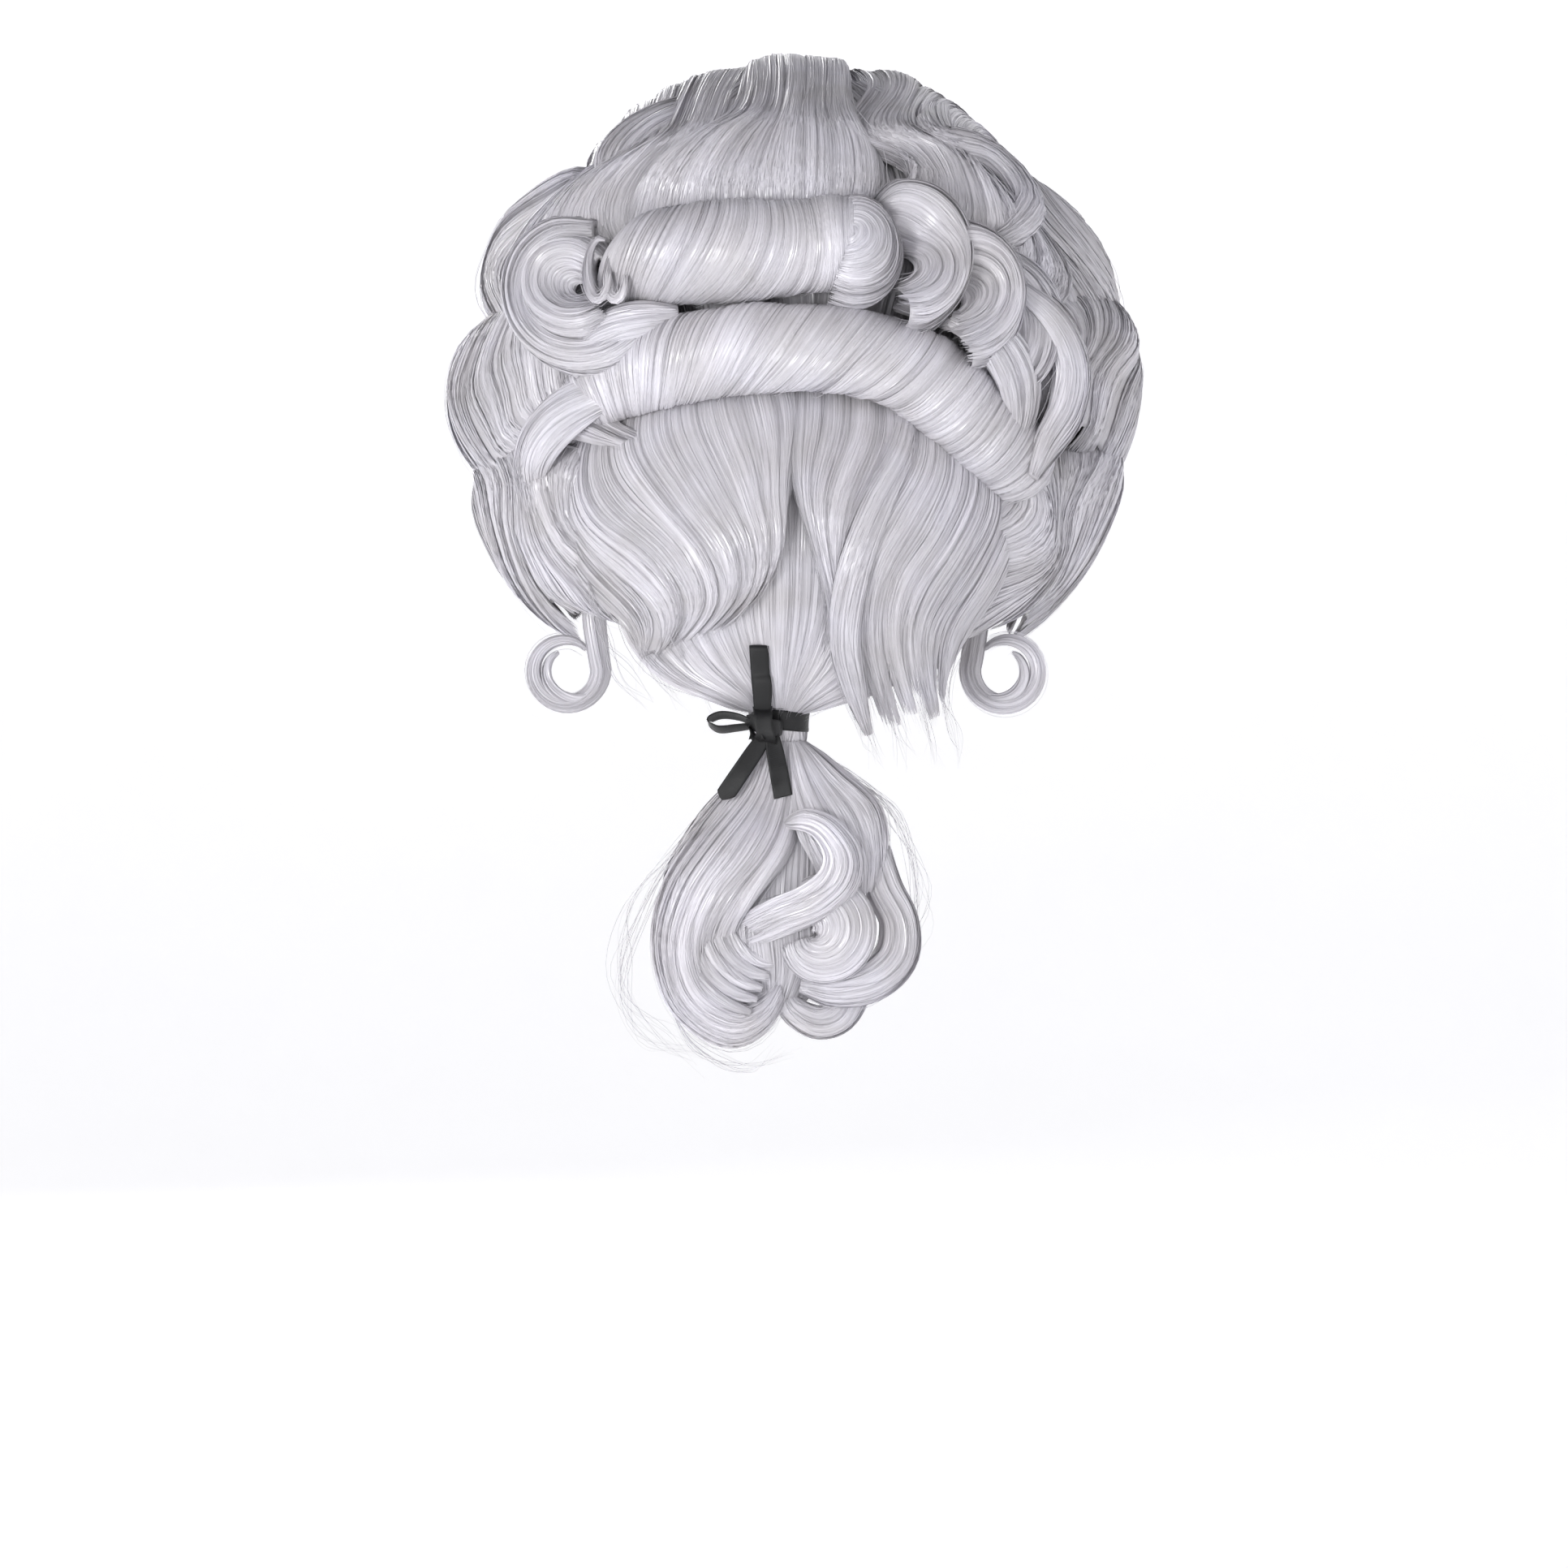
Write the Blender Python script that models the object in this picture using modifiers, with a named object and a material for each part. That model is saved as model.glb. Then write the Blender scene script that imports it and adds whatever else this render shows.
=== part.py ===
"""A white eighteenth-century style costume wig: a sewn cap with wefts, its dressed hair, and a tied queue.

The wearer faces -Y, +X is the wearer's left and +Z is up. The origin is the centre of the head-size oval,
where the cap sits on the head. Lengths are in metres. Hair masses are plain closed solids.
"""
import math

import bmesh
import bpy
from mathutils import Matrix, Vector

MM = 0.001

# The head that the cap fits: a 56 cm head-size oval.
SCALP_SIDE = 78 * MM
SCALP_DEPTH = 98 * MM
SCALP_TOP = 105 * MM
SCALP_BELOW = 140 * MM

# The rounded outline of the dressed hair.
HAIR_CENTRE = Vector((0, 8 * MM, 12 * MM))
HAIR_SIDE = 138 * MM
HAIR_DEPTH = 126 * MM
HAIR_TOP = 138 * MM
HAIR_BELOW = 142 * MM

# How thick a mass of hair is along its edges, as a share of its middle.
MASS_EDGE = 0.62

# Layers outwards from the scalp.
NET_THICK = 1.0 * MM
TAPE_START = 1.4 * MM
TAPE_THICK = 0.8 * MM
WEFT_START = 2.6 * MM
WEFT_THICK = 1.4 * MM
WEFT_HEIGHT = 5 * MM
HAIR_START = 6 * MM
UNDER_HAIR_THICK = 6.5 * MM

# Where the net and the whole cap end: azimuths from the forehead at -90 to the nape at 90, and polar angles.
EDGE_AZIMUTHS = (-90, -62, -48, -38, -22, -12, 10, 28, 50, 90)
NET_EDGE = (52, 56, 76, 84, 84, 82, 84, 109, 118, 118)
CAP_EDGE = (58, 62, 84, 101, 101, 88, 90, 115, 124, 124)

# The gap between the net and the bands sewn round its edge, as a polar angle in degrees.
BAND_GAP = 2.3
BAND_THICK = 1.4 * MM

# The wefts from the crown down: polar angle, and the azimuths of the two ends.
WEFTS = ((26, -40, 220), (42, -36, 216), (58, -8, 188), (74, -8, 188), (92, 32, 148), (108, 36, 144))

# The rolls across the back.
UPPER_ROLL_RADIUS = 19.4 * MM
UPPER_ROLL_Z = 57.6 * MM
LOWER_ROLL_RADIUS = 15.6 * MM
LOWER_ROLL_Z = 21.5 * MM
ROLL_PATH_RADIUS = 120 * MM
ROLL_PATH_CENTRE_Y = 6 * MM

# The tie at the nape, and the queue below it.
TIE = Vector((6.5 * MM, 88 * MM, -120.5 * MM))
STEM_RADIUS = 10.4 * MM
RIBBON_WIDTH = 7 * MM
RIBBON_THICK = 0.8 * MM
BAND_INNER = STEM_RADIUS + 0.6 * MM
PIVOT = Vector((6.5 * MM, 88 * MM, -134 * MM))
NECK_RADIUS = 9.4 * MM
KNOT = Vector((12.5 * MM, 102 * MM, -121.5 * MM))
KNOT_SIZE = Vector((8 * MM, 5 * MM, 9 * MM))
ELASTIC_Z = -113.6 * MM
ELASTIC_THICK = 1.6 * MM
ELASTIC_HEIGHT = 3 * MM
STEM_TOP = -109.5 * MM
STEM_BOTTOM = -124 * MM

# The bow: where each loop and tail starts at the knot, which way it runs, and its size.
LOOP_UP_FOOT = Vector((12.8 * MM, 103.6 * MM, -116.2 * MM))
LOOP_UP_RUN = Vector((0, 0.24, 1)).normalized()
LOOP_UP_LENGTH = 26 * MM
LOOP_UP_BULGE = 4.6 * MM
LOOP_SIDE_FOOT = Vector((17.1 * MM, 101.4 * MM, -120.4 * MM))
LOOP_SIDE_LENGTH = 16.5 * MM
LOOP_SIDE_BULGE = 6.4 * MM
LOOP_SIDE_WIDTH = 5 * MM
TAIL_LEFT_FOOT = Vector((15.2 * MM, 104 * MM, -128.6 * MM))
TAIL_LEFT_RUN = Vector((0.56, 0, -0.83)).normalized()
TAIL_LEFT_LENGTH = 25 * MM
TAIL_RIGHT_FOOT = Vector((8.6 * MM, 104 * MM, -128.6 * MM))
TAIL_RIGHT_RUN = Vector((-0.18, 0, -0.98)).normalized()
TAIL_RIGHT_LENGTH = 21 * MM

# The swept nape hair, from under the lower roll to the tie: polar angle, gather to the tie, thickness,
# and the azimuth of the outer edge measured from the nape's middle line.
NAPE_STATIONS = (
    (91, 0.0, 9 * MM, 42),
    (98, 0.0, 19 * MM, 46),
    (106, 0.0, 23 * MM, 49),
    (114, 0.0, 24 * MM, 51),
    (121, 0.03, 22 * MM, 52),
    (124, 0.30, 15 * MM, 50),
    (124, 0.58, 10 * MM, 46),
    (124, 0.82, 7 * MM, 42),
    (124, 1.0, 6 * MM, 40),
)
NAPE_COLUMNS = 6
PARTING = 0.5 * MM

# The queue's body, in millimetres: height, middle X and Y, and half widths along X and Y.
QUEUE_STATIONS = (
    (-145, 6.5, 88, 11, 9),
    (-156, 5, 89, 18, 15),
    (-172, 3.4, 90, 20, 21),
    (-190, 3.2, 90, 21, 24),
    (-206, 4, 90, 18, 24),
    (-220, 4, 90, 14, 20),
    (-226, 4, 90, 9, 13),
)

# The ringlets that hang below the side hair.
RINGLET_HINGE_Y = 46 * MM
RINGLET_HINGE_Z = -79 * MM
RINGLET_LEFT_X = 91 * MM
RINGLET_RIGHT_X = 83 * MM
RINGLET_Z = -99.5 * MM
RINGLET_RADIUS = 13.5 * MM
RINGLET_TUBE = 3.6 * MM

# The take-up straps inside the nape run on a level arc about this upright axis.
STRAP_AXIS_Y = 31.2 * MM
STRAP_RADIUS = 50.8 * MM
STRAP_Z = -70 * MM
STRAP_WIDTH = 6 * MM
STRAP_THICK = 1.0 * MM
HOOK_THICK = 0.9 * MM
HOOK_WIDTH = 4.8 * MM
KEEPER_RADIUS = STRAP_RADIUS - 1.1 * MM
KEEPER_THICK = 0.6 * MM
KEEPER_WIDTH = 9 * MM

WHITE = (0.72, 0.72, 0.75)
WHITE_SHADE = (0.62, 0.62, 0.65)
NET = (0.66, 0.65, 0.63)
TAPE = (0.78, 0.77, 0.74)
BLACK = (0.012, 0.012, 0.014)
METAL = (0.62, 0.62, 0.64)

# Each finish is a colour, a roughness and how metallic it is.
HAIR_FINISH = (WHITE, 0.45, 0.0)
UNDER_FINISH = (WHITE_SHADE, 0.55, 0.0)
NET_FINISH = (NET, 0.8, 0.0)
TAPE_FINISH = (TAPE, 0.75, 0.0)
SATIN_FINISH = (BLACK, 0.3, 0.0)
ELASTIC_FINISH = (BLACK, 0.7, 0.0)
METAL_FINISH = (METAL, 0.3, 1.0)


def clear_scene():
    for item in list(bpy.data.objects):
        bpy.data.objects.remove(item, do_unlink=True)


def new_collection(name):
    collection = bpy.data.collections.new(name)
    bpy.context.scene.collection.children.link(collection)
    return collection


def material(name, finish):
    colour, roughness, metallic = finish
    made = bpy.data.materials.new(name)
    made.use_nodes = True
    shader = made.node_tree.nodes["Principled BSDF"]
    shader.inputs["Base Color"].default_value = (*colour, 1.0)
    shader.inputs["Roughness"].default_value = roughness
    shader.inputs["Metallic"].default_value = metallic
    return made


def place(obj, name, finish, parts):
    """Names an object, gives it a material of its own and puts it with the wig's parts."""
    obj.name = name
    obj.data.materials.append(material(name, finish))
    parts.objects.link(obj)
    return obj


def mesh_object(bm):
    """A new mesh object from a bmesh, with its faces turned outwards."""
    bmesh.ops.recalc_face_normals(bm, faces=bm.faces)
    mesh = bpy.data.meshes.new("shape")
    bm.to_mesh(mesh)
    bm.free()
    mesh.shade_smooth()
    mesh.set_sharp_from_angle(angle=math.radians(50))
    return bpy.data.objects.new("shape", mesh)


def move_origin(obj, origin):
    """Puts an object's origin at a point, leaving its shape where it is."""
    for vertex in obj.data.vertices:
        vertex.co -= origin
    obj.location = origin
    return obj


def loft(sections):
    """A closed solid through closed sections with the same number of points, with both ends filled."""
    bm = bmesh.new()
    rings = [[bm.verts.new(point) for point in section] for section in sections]
    for first, second in zip(rings, rings[1:]):
        for k, corner in enumerate(first):
            after = (k + 1) % len(first)
            bm.faces.new((corner, first[after], second[after], second[k]))
    bm.faces.new(rings[0])
    bm.faces.new(rings[-1])
    return mesh_object(bm)


def blend_value(table, x):
    """The value at x on a smooth line through a short table of (x, value) stations."""
    for (x0, v0), (x1, v1) in zip(table, table[1:]):
        if x <= x1:
            share = min(max((x - x0) / (x1 - x0), 0.0), 1.0)
            return v0 + (v1 - v0) * share * share * (3 - 2 * share)
    return table[-1][1]


def steps(start, end, count):
    return [start + (end - start) * k / (count - 1) for k in range(count)]


def on_oval(direction, side, depth, top, below):
    """The point where a direction from the centre meets an oval dome."""
    rise = top if direction.z >= 0 else below
    return Vector((side * direction.x, depth * direction.y, rise * direction.z))


def on_scalp(direction, offset):
    point = on_oval(direction, SCALP_SIDE, SCALP_DEPTH, SCALP_TOP, SCALP_BELOW)
    rise = SCALP_TOP if direction.z >= 0 else SCALP_BELOW
    normal = Vector((point.x / SCALP_SIDE**2, point.y / SCALP_DEPTH**2, point.z / rise**2))
    return point + offset * normal.normalized()


def on_outline(direction):
    return HAIR_CENTRE + on_oval(direction, HAIR_SIDE, HAIR_DEPTH, HAIR_TOP, HAIR_BELOW)


def around(azimuth, polar):
    """A direction by azimuth from +X towards +Y and polar angle down from the crown, in degrees."""
    a = math.radians(azimuth)
    p = math.radians(polar)
    return Vector((math.sin(p) * math.cos(a), math.sin(p) * math.sin(a), math.cos(p)))


def over(sideways, backwards):
    """A direction over the crown by two tilts in degrees, sideways towards +X and backwards towards +Y."""
    x = math.tan(math.radians(sideways))
    y = math.tan(math.radians(backwards))
    return Vector((x, y, 1)).normalized()


def hair_depth(direction, share):
    """A point this share of the way from the foot of the hair to its outline."""
    return on_scalp(direction, HAIR_START).lerp(on_outline(direction), share)


def crowned(t, edge):
    """1 at the middle of a mass, falling to edge at both ends of 0 to 1."""
    return 1 - (1 - edge) * abs(2 * t - 1) ** 2.5


def hair_mass(direction_at, across, along, rows, columns, share=1.0):
    """A puffed mass of hair: direction_at turns a place across and one along into a direction."""
    sections = []
    for i, u in enumerate(steps(*across, columns)):
        side = share * crowned(i / (columns - 1), MASS_EDGE)
        tracks = [direction_at(u, v) for v in steps(*along(u), rows)]
        inner = [on_scalp(d, HAIR_START) for d in tracks]
        outer = [hair_depth(d, side * crowned(k / (rows - 1), MASS_EDGE)) for k, d in enumerate(tracks)]
        sections.append(inner + outer[::-1])
    return loft(sections)


def sagittal(sideways, backwards):
    """A direction near the middle plane: sideways is its X share, and backwards a tilt in degrees."""
    b = math.radians(backwards)
    rest = math.sqrt(1 - sideways * sideways)
    return Vector((sideways, rest * math.sin(b), rest * math.cos(b)))


def edge_at(polars, azimuth):
    """The polar angle of one of the cap's edges at an azimuth, the same on both sides."""
    turned = (azimuth + 90) % 360 - 90
    return blend_value(list(zip(EDGE_AZIMUTHS, polars)), turned if turned <= 90 else 180 - turned)


def crown_net(parts):
    """The stretch net dome: a half sphere drawn down to the net's edge, then thickened outwards."""
    bm = bmesh.new()
    bmesh.ops.create_uvsphere(bm, u_segments=32, v_segments=14, radius=1)
    lower = [v for v in bm.verts if v.co.z < -0.01]
    bmesh.ops.delete(bm, geom=lower, context="VERTS")
    for vertex in bm.verts:
        polar = math.degrees(math.acos(min(vertex.co.z, 1)))
        azimuth = math.degrees(math.atan2(vertex.co.y, vertex.co.x))
        vertex.co = on_scalp(around(azimuth, polar / 90 * edge_at(NET_EDGE, azimuth)), 0)
    net = mesh_object(bm)
    thicken = net.modifiers.new("Net", "SOLIDIFY")
    thicken.thickness = NET_THICK
    thicken.offset = 1
    place(net, "crown_net", NET_FINISH, parts)


def edge_band(name, start, end, parts):
    """A sewn band between the net's edge and the cap's edge, over a range of azimuths."""
    sections = []
    for azimuth in steps(start, end, max(4, round(abs(end - start) / 7))):
        top = around(azimuth, edge_at(NET_EDGE, azimuth) + BAND_GAP)
        low = around(azimuth, edge_at(CAP_EDGE, azimuth))
        inner = [on_scalp(top, 0), on_scalp(low, 0)]
        outer = [on_scalp(low, BAND_THICK), on_scalp(top, BAND_THICK)]
        sections.append(inner + outer)
    place(loft(sections), name, TAPE_FINISH, parts)


def centre_tape(parts):
    """The lace tape that runs over the net from the forehead to the nape."""
    sections = []
    for backwards in steps(-47, 112, 24):
        left = sagittal(0.055, backwards)
        right = sagittal(-0.055, backwards)
        inner = [on_scalp(left, TAPE_START), on_scalp(right, TAPE_START)]
        outer = [on_scalp(right, TAPE_START + TAPE_THICK), on_scalp(left, TAPE_START + TAPE_THICK)]
        sections.append(inner + outer)
    place(loft(sections), "centre_tape", TAPE_FINISH, parts)


def weft_row(name, polar, start, end, parts):
    """One weft: the sewn heading of a row of hair, round the cap at one polar angle."""
    half = math.degrees(WEFT_HEIGHT / 2 / SCALP_TOP)
    sections = []
    for azimuth in steps(start, end, round((end - start) / 9) + 1):
        top = around(azimuth, polar - half)
        low = around(azimuth, polar + half)
        inner = [on_scalp(top, WEFT_START), on_scalp(low, WEFT_START)]
        outer = [on_scalp(low, WEFT_START + WEFT_THICK), on_scalp(top, WEFT_START + WEFT_THICK)]
        sections.append(inner + outer)
    place(loft(sections), name, TAPE_FINISH, parts)


def cap(parts):
    crown_net(parts)
    centre_tape(parts)
    edge_band("front_band", 228, 312, parts)
    edge_band("ear_tab_left", -47.4, -14, parts)
    edge_band("ear_tab_right", 194, 227.4, parts)
    edge_band("ear_curve_band_left", -13.3, 26.3, parts)
    edge_band("ear_curve_band_right", 153.7, 193.3, parts)
    edge_band("nape_band", 27, 153, parts)
    for number, (polar, start, end) in enumerate(WEFTS, 1):
        weft_row(f"weft_row_{number}", polar, start, end, parts)


def crown_limit(azimuth):
    """The polar angle where the side hair meets the crown hair."""
    return math.degrees(math.atan(math.tan(math.radians(48.5)) / math.cos(math.radians(azimuth))))


def crown_hair(parts):
    masses = (
        ("front_pouf", (-47, 47), (-60, -14), 7, 1.14),
        ("crown_pouf", (-47, 47), (-12.5, 18), 7, 1.0),
        ("crown_wave_left", (18, 47), (19.5, 57), 5, 1.0),
        ("crown_wave_centre", (-16.8, 16.8), (19.5, 59), 5, 1.0),
        ("crown_wave_right", (-47, -18), (19.5, 57), 5, 1.0),
    )
    for name, across, along, columns, share in masses:
        shape = hair_mass(over, across, lambda u, along=along: along, 6, columns, share)
        place(shape, name, HAIR_FINISH, parts)


def side_hair(parts):
    """The waved hair over each ear, in three masses one below another, and the temple hair in front."""
    masses = (
        ("side_wave_upper", (-44, 43), lambda a: (crown_limit(a), 71), 8),
        ("side_wave_middle", (-44, 43), lambda a: (72.6, 95), 8),
        ("side_wave_lower", (-22, 36), lambda a: (96.6, 122), 6),
        ("temple_wave", (-60, -45.4), lambda a: (crown_limit(a) + 1, 88), 4),
    )
    for name, across, along, columns in masses:
        for side, sign in (("left", 1), ("right", -1)):
            direction_at = lambda a, p, sign=sign: around(90 - sign * (90 - a), p)
            place(hair_mass(direction_at, across, along, 5, columns), f"{name}_{side}", HAIR_FINISH, parts)


def under_hair(parts):
    """The hair laid flat on the back of the cap, behind the two rolls."""
    sections = []
    for azimuth in steps(49, 131, 12):
        tracks = [around(azimuth, p) for p in steps(66, 88.5, 4)]
        inner = [on_scalp(d, HAIR_START) for d in tracks]
        outer = [on_scalp(d, HAIR_START + UNDER_HAIR_THICK) for d in tracks]
        sections.append(inner + outer[::-1])
    place(loft(sections), "back_under_hair", UNDER_FINISH, parts)


def tube(name, points, radii, parts):
    """A round bar of hair along its points, with a radius at each point."""
    curve = bpy.data.curves.new(name, "CURVE")
    curve.dimensions = "3D"
    curve.bevel_depth = 1.0
    curve.bevel_resolution = 3
    curve.use_fill_caps = True
    spline = curve.splines.new("POLY")
    spline.points.add(len(points) - 1)
    for place_at, point, radius in zip(spline.points, points, radii):
        place_at.co = (*point, 1)
        place_at.radius = radius
    place(bpy.data.objects.new(name, curve), name, HAIR_FINISH, parts)


def smooth_path(knots, count):
    """Points along a smooth curve that passes through every knot."""
    ends = [2 * knots[0] - knots[1], *knots, 2 * knots[-1] - knots[-2]]
    path = []
    for k in range(count):
        whole, t = divmod(k / (count - 1) * (len(knots) - 1), 1)
        i = min(int(whole), len(knots) - 2)
        t = t if i == int(whole) else 1.0
        a, b, c, d = ends[i : i + 4]
        curved = (2 * a - 5 * b + 4 * c - d) * t**2 + (3 * b - a - 3 * c + d) * t**3
        path.append(0.5 * (2 * b + (c - a) * t + curved))
    return path


def tapered(radius, count, end_share, power=4):
    """Radii along a lock, full at its middle and a share of that at its two ends."""
    return [radius * (1 - (1 - end_share) * abs(2 * k / (count - 1) - 1) ** power) for k in range(count)]


def roll_path(half_angle, left_z, middle_z, right_z, count):
    """A level arch round the back of the head, from the left end to the right end."""
    path = []
    for k in range(count):
        share = 1 - 2 * k / (count - 1)
        psi = math.radians(half_angle * share)
        end_z = left_z if share > 0 else right_z
        x = ROLL_PATH_RADIUS * math.sin(psi)
        y = ROLL_PATH_CENTRE_Y + ROLL_PATH_RADIUS * math.cos(psi)
        path.append(Vector((x, y, middle_z + (end_z - middle_z) * abs(share) ** 2)))
    return path


def rolls(parts):
    upper = roll_path(26, UPPER_ROLL_Z - 3 * MM, UPPER_ROLL_Z, UPPER_ROLL_Z - 5 * MM, 13)
    tube("upper_roll", upper, tapered(UPPER_ROLL_RADIUS, 13, 0.72), parts)
    lower = roll_path(44, -12 * MM, LOWER_ROLL_Z, -18 * MM, 17)
    tube("lower_roll", lower, tapered(LOWER_ROLL_RADIUS, 17, 0.62), parts)


def ring(centre, normal, radius, start, sweep, count):
    """Points on an arc round a centre, starting at an angle from the level direction, in degrees."""
    level = Vector((normal.y, -normal.x, 0)).normalized()
    upright = level.cross(normal).normalized()
    if upright.z < 0:
        upright = -upright
    points = []
    for k in range(count):
        angle = math.radians(start + sweep * k / (count - 1))
        points.append(centre + radius * (level * math.cos(angle) + upright * math.sin(angle)))
    return points


def back_curls(parts):
    """The swirl at the left end of the upper roll, and the curls that step down from its right end."""
    outwards = around(56, 72)
    centre = hair_depth(outwards, 0.86)
    swirl = ring(centre, outwards, 10.5 * MM, 100, 318, 20)
    tube("swirl_curl_left", swirl, tapered(5.4 * MM, 20, 0.7), parts)
    stations = {
        "stepped_curl_right_upper": ((119, 66), (124, 73), (126, 82)),
        "stepped_curl_right_lower": ((127.5, 65), (132, 73), (134, 83)),
    }
    for name, turns in stations.items():
        knots = [hair_depth(around(azimuth, polar), 0.9) for azimuth, polar in turns]
        path = smooth_path(knots, 9)
        tube(name, path, tapered(7.5 * MM, 9, 0.6), parts)


def nape_section(station, sign):
    """One level section of a nape half: its inner points from the middle outwards, then its outer ones."""
    polar, gather, thick, reach = station
    inner = []
    outer = []
    for k in range(NAPE_COLUMNS):
        share = k / (NAPE_COLUMNS - 1)
        direction = around(90 - sign * reach * share, polar)
        puff = thick * (1 - 0.55 * share**2.5)
        turn = math.radians(-80 + 70 * share)
        for points, offset, angle in ((inner, HAIR_START, turn), (outer, HAIR_START + puff, -turn)):
            spread = on_scalp(direction, offset)
            round_stem = Vector((sign * math.cos(angle), math.sin(angle), 0)) * (STEM_RADIUS - 0.8 * MM)
            gathered = Vector((TIE.x, TIE.y, STEM_TOP)) + round_stem
            point = spread.lerp(gathered, gather)
            points.append(point + Vector((sign * PARTING, 0, 0)))
    return inner + outer[::-1]


def nape_hair(parts):
    for side, sign in (("left", 1), ("right", -1)):
        sections = [nape_section(station, sign) for station in NAPE_STATIONS]
        place(loft(sections), f"nape_sweep_{side}", HAIR_FINISH, parts)
    knots = [
        Vector((-38, 126, -2)) * MM,
        Vector((-30, 132, -30)) * MM,
        Vector((-21, 133, -58)) * MM,
        Vector((-20, 124, -86)) * MM,
        Vector((-25, 112, -110)) * MM,
        Vector((-28, 104, -127)) * MM,
    ]
    path = smooth_path(knots, 13)
    tube("falling_lock_right", path, tapered(6.5 * MM, 13, 0.4), parts)


def turned(name, profile, centre, finish, parts):
    """A turned piece from a closed profile of (radius, height) points, down its outer side first."""
    bm = bmesh.new()
    corners = [bm.verts.new((radius, 0, height)) for radius, height in profile]
    for first, second in zip(corners, corners[1:] + corners[:1]):
        bm.edges.new((first, second))
    mesh = bpy.data.meshes.new(name)
    bm.to_mesh(mesh)
    bm.free()
    obj = bpy.data.objects.new(name, mesh)
    obj.location = centre
    spin = obj.modifiers.new("Turn", "SCREW")
    spin.steps = 28
    spin.render_steps = 28
    spin.use_merge_vertices = True
    spin.merge_threshold = 0.01 * MM
    place(obj, name, finish, parts)


def band_profile(inner, thick, height):
    outer = inner + thick
    return [(outer, height / 2), (outer, -height / 2), (inner, -height / 2), (inner, height / 2)]


def outline_solid(name, loops, thick, place_matrix, finish, parts):
    """A flat outline, with any inner loops left open, given a thickness and put in place by a matrix."""
    curve = bpy.data.curves.new(name, "CURVE")
    curve.dimensions = "2D"
    curve.fill_mode = "BOTH"
    curve.extrude = thick / 2
    for loop in loops:
        spline = curve.splines.new("POLY")
        spline.points.add(len(loop) - 1)
        spline.use_cyclic_u = True
        for point, (x, y) in zip(spline.points, loop):
            point.co = (x, y, 0, 1)
    obj = bpy.data.objects.new(name, curve)
    obj.matrix_world = place_matrix
    place(obj, name, finish, parts)


def stadium(length, width):
    """The outline of a strip with two round ends, from its foot at the origin upwards."""
    radius = width / 2
    points = []
    for angle in steps(0, math.pi, 7):
        points.append((radius * math.cos(angle), length - radius + radius * math.sin(angle)))
    for angle in steps(math.pi, 2 * math.pi, 7):
        points.append((radius * math.cos(angle), radius + radius * math.sin(angle)))
    return points


def inset_stadium(length, width, inset):
    return [(x, y + inset) for x, y in stadium(length - 2 * inset, width - 2 * inset)]


def frame_of(origin, across, along):
    """A matrix that puts a flat outline's X along one direction and its Y along another."""
    out = across.cross(along)
    matrix = Matrix((across, along, out)).transposed().to_4x4()
    matrix.translation = origin
    return matrix


def loop_outline(length, bulge):
    """A flattened loop of ribbon seen edge on: its outer outline, and the one inside it."""
    return [stadium(length, bulge), inset_stadium(length, bulge, RIBBON_THICK)]


def ribbon(parts):
    """The satin bow's two loops and two tails."""
    across = Vector((0, 1, 0))
    across = (across - LOOP_UP_RUN * across.dot(LOOP_UP_RUN)).normalized()
    up = frame_of(LOOP_UP_FOOT, across, LOOP_UP_RUN)
    outline = loop_outline(LOOP_UP_LENGTH, LOOP_UP_BULGE)
    outline_solid("ribbon_loop_up", outline, RIBBON_WIDTH, up, SATIN_FINISH, parts)
    sideways = frame_of(LOOP_SIDE_FOOT, Vector((0, 0, 1)), Vector((1, 0, 0)))
    outline = loop_outline(LOOP_SIDE_LENGTH, LOOP_SIDE_BULGE)
    outline_solid("ribbon_loop_side", outline, LOOP_SIDE_WIDTH, sideways, SATIN_FINISH, parts)
    half = RIBBON_WIDTH / 2
    tails = (
        ("ribbon_tail_left", TAIL_LEFT_FOOT, TAIL_LEFT_RUN, TAIL_LEFT_LENGTH, half * 0.6),
        ("ribbon_tail_right", TAIL_RIGHT_FOOT, TAIL_RIGHT_RUN, TAIL_RIGHT_LENGTH, 0.0),
    )
    for name, foot, run, length, slant in tails:
        flat = [(-half, 0), (half, 0), (half, length - slant), (-half, length + slant)]
        matrix = frame_of(foot, run.cross(Vector((0, 1, 0))), run)
        outline_solid(name, [flat], RIBBON_THICK, matrix, SATIN_FINISH, parts)


def knot(parts):
    bm = bmesh.new()
    bmesh.ops.create_cube(bm, size=1)
    for vertex in bm.verts:
        vertex.co = Vector([a * b for a, b in zip(vertex.co, KNOT_SIZE)])
    obj = mesh_object(bm)
    obj.location = KNOT
    rounding = obj.modifiers.new("Round", "BEVEL")
    rounding.width = 1.4 * MM
    rounding.segments = 3
    place(obj, "ribbon_knot", SATIN_FINISH, parts)


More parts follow.
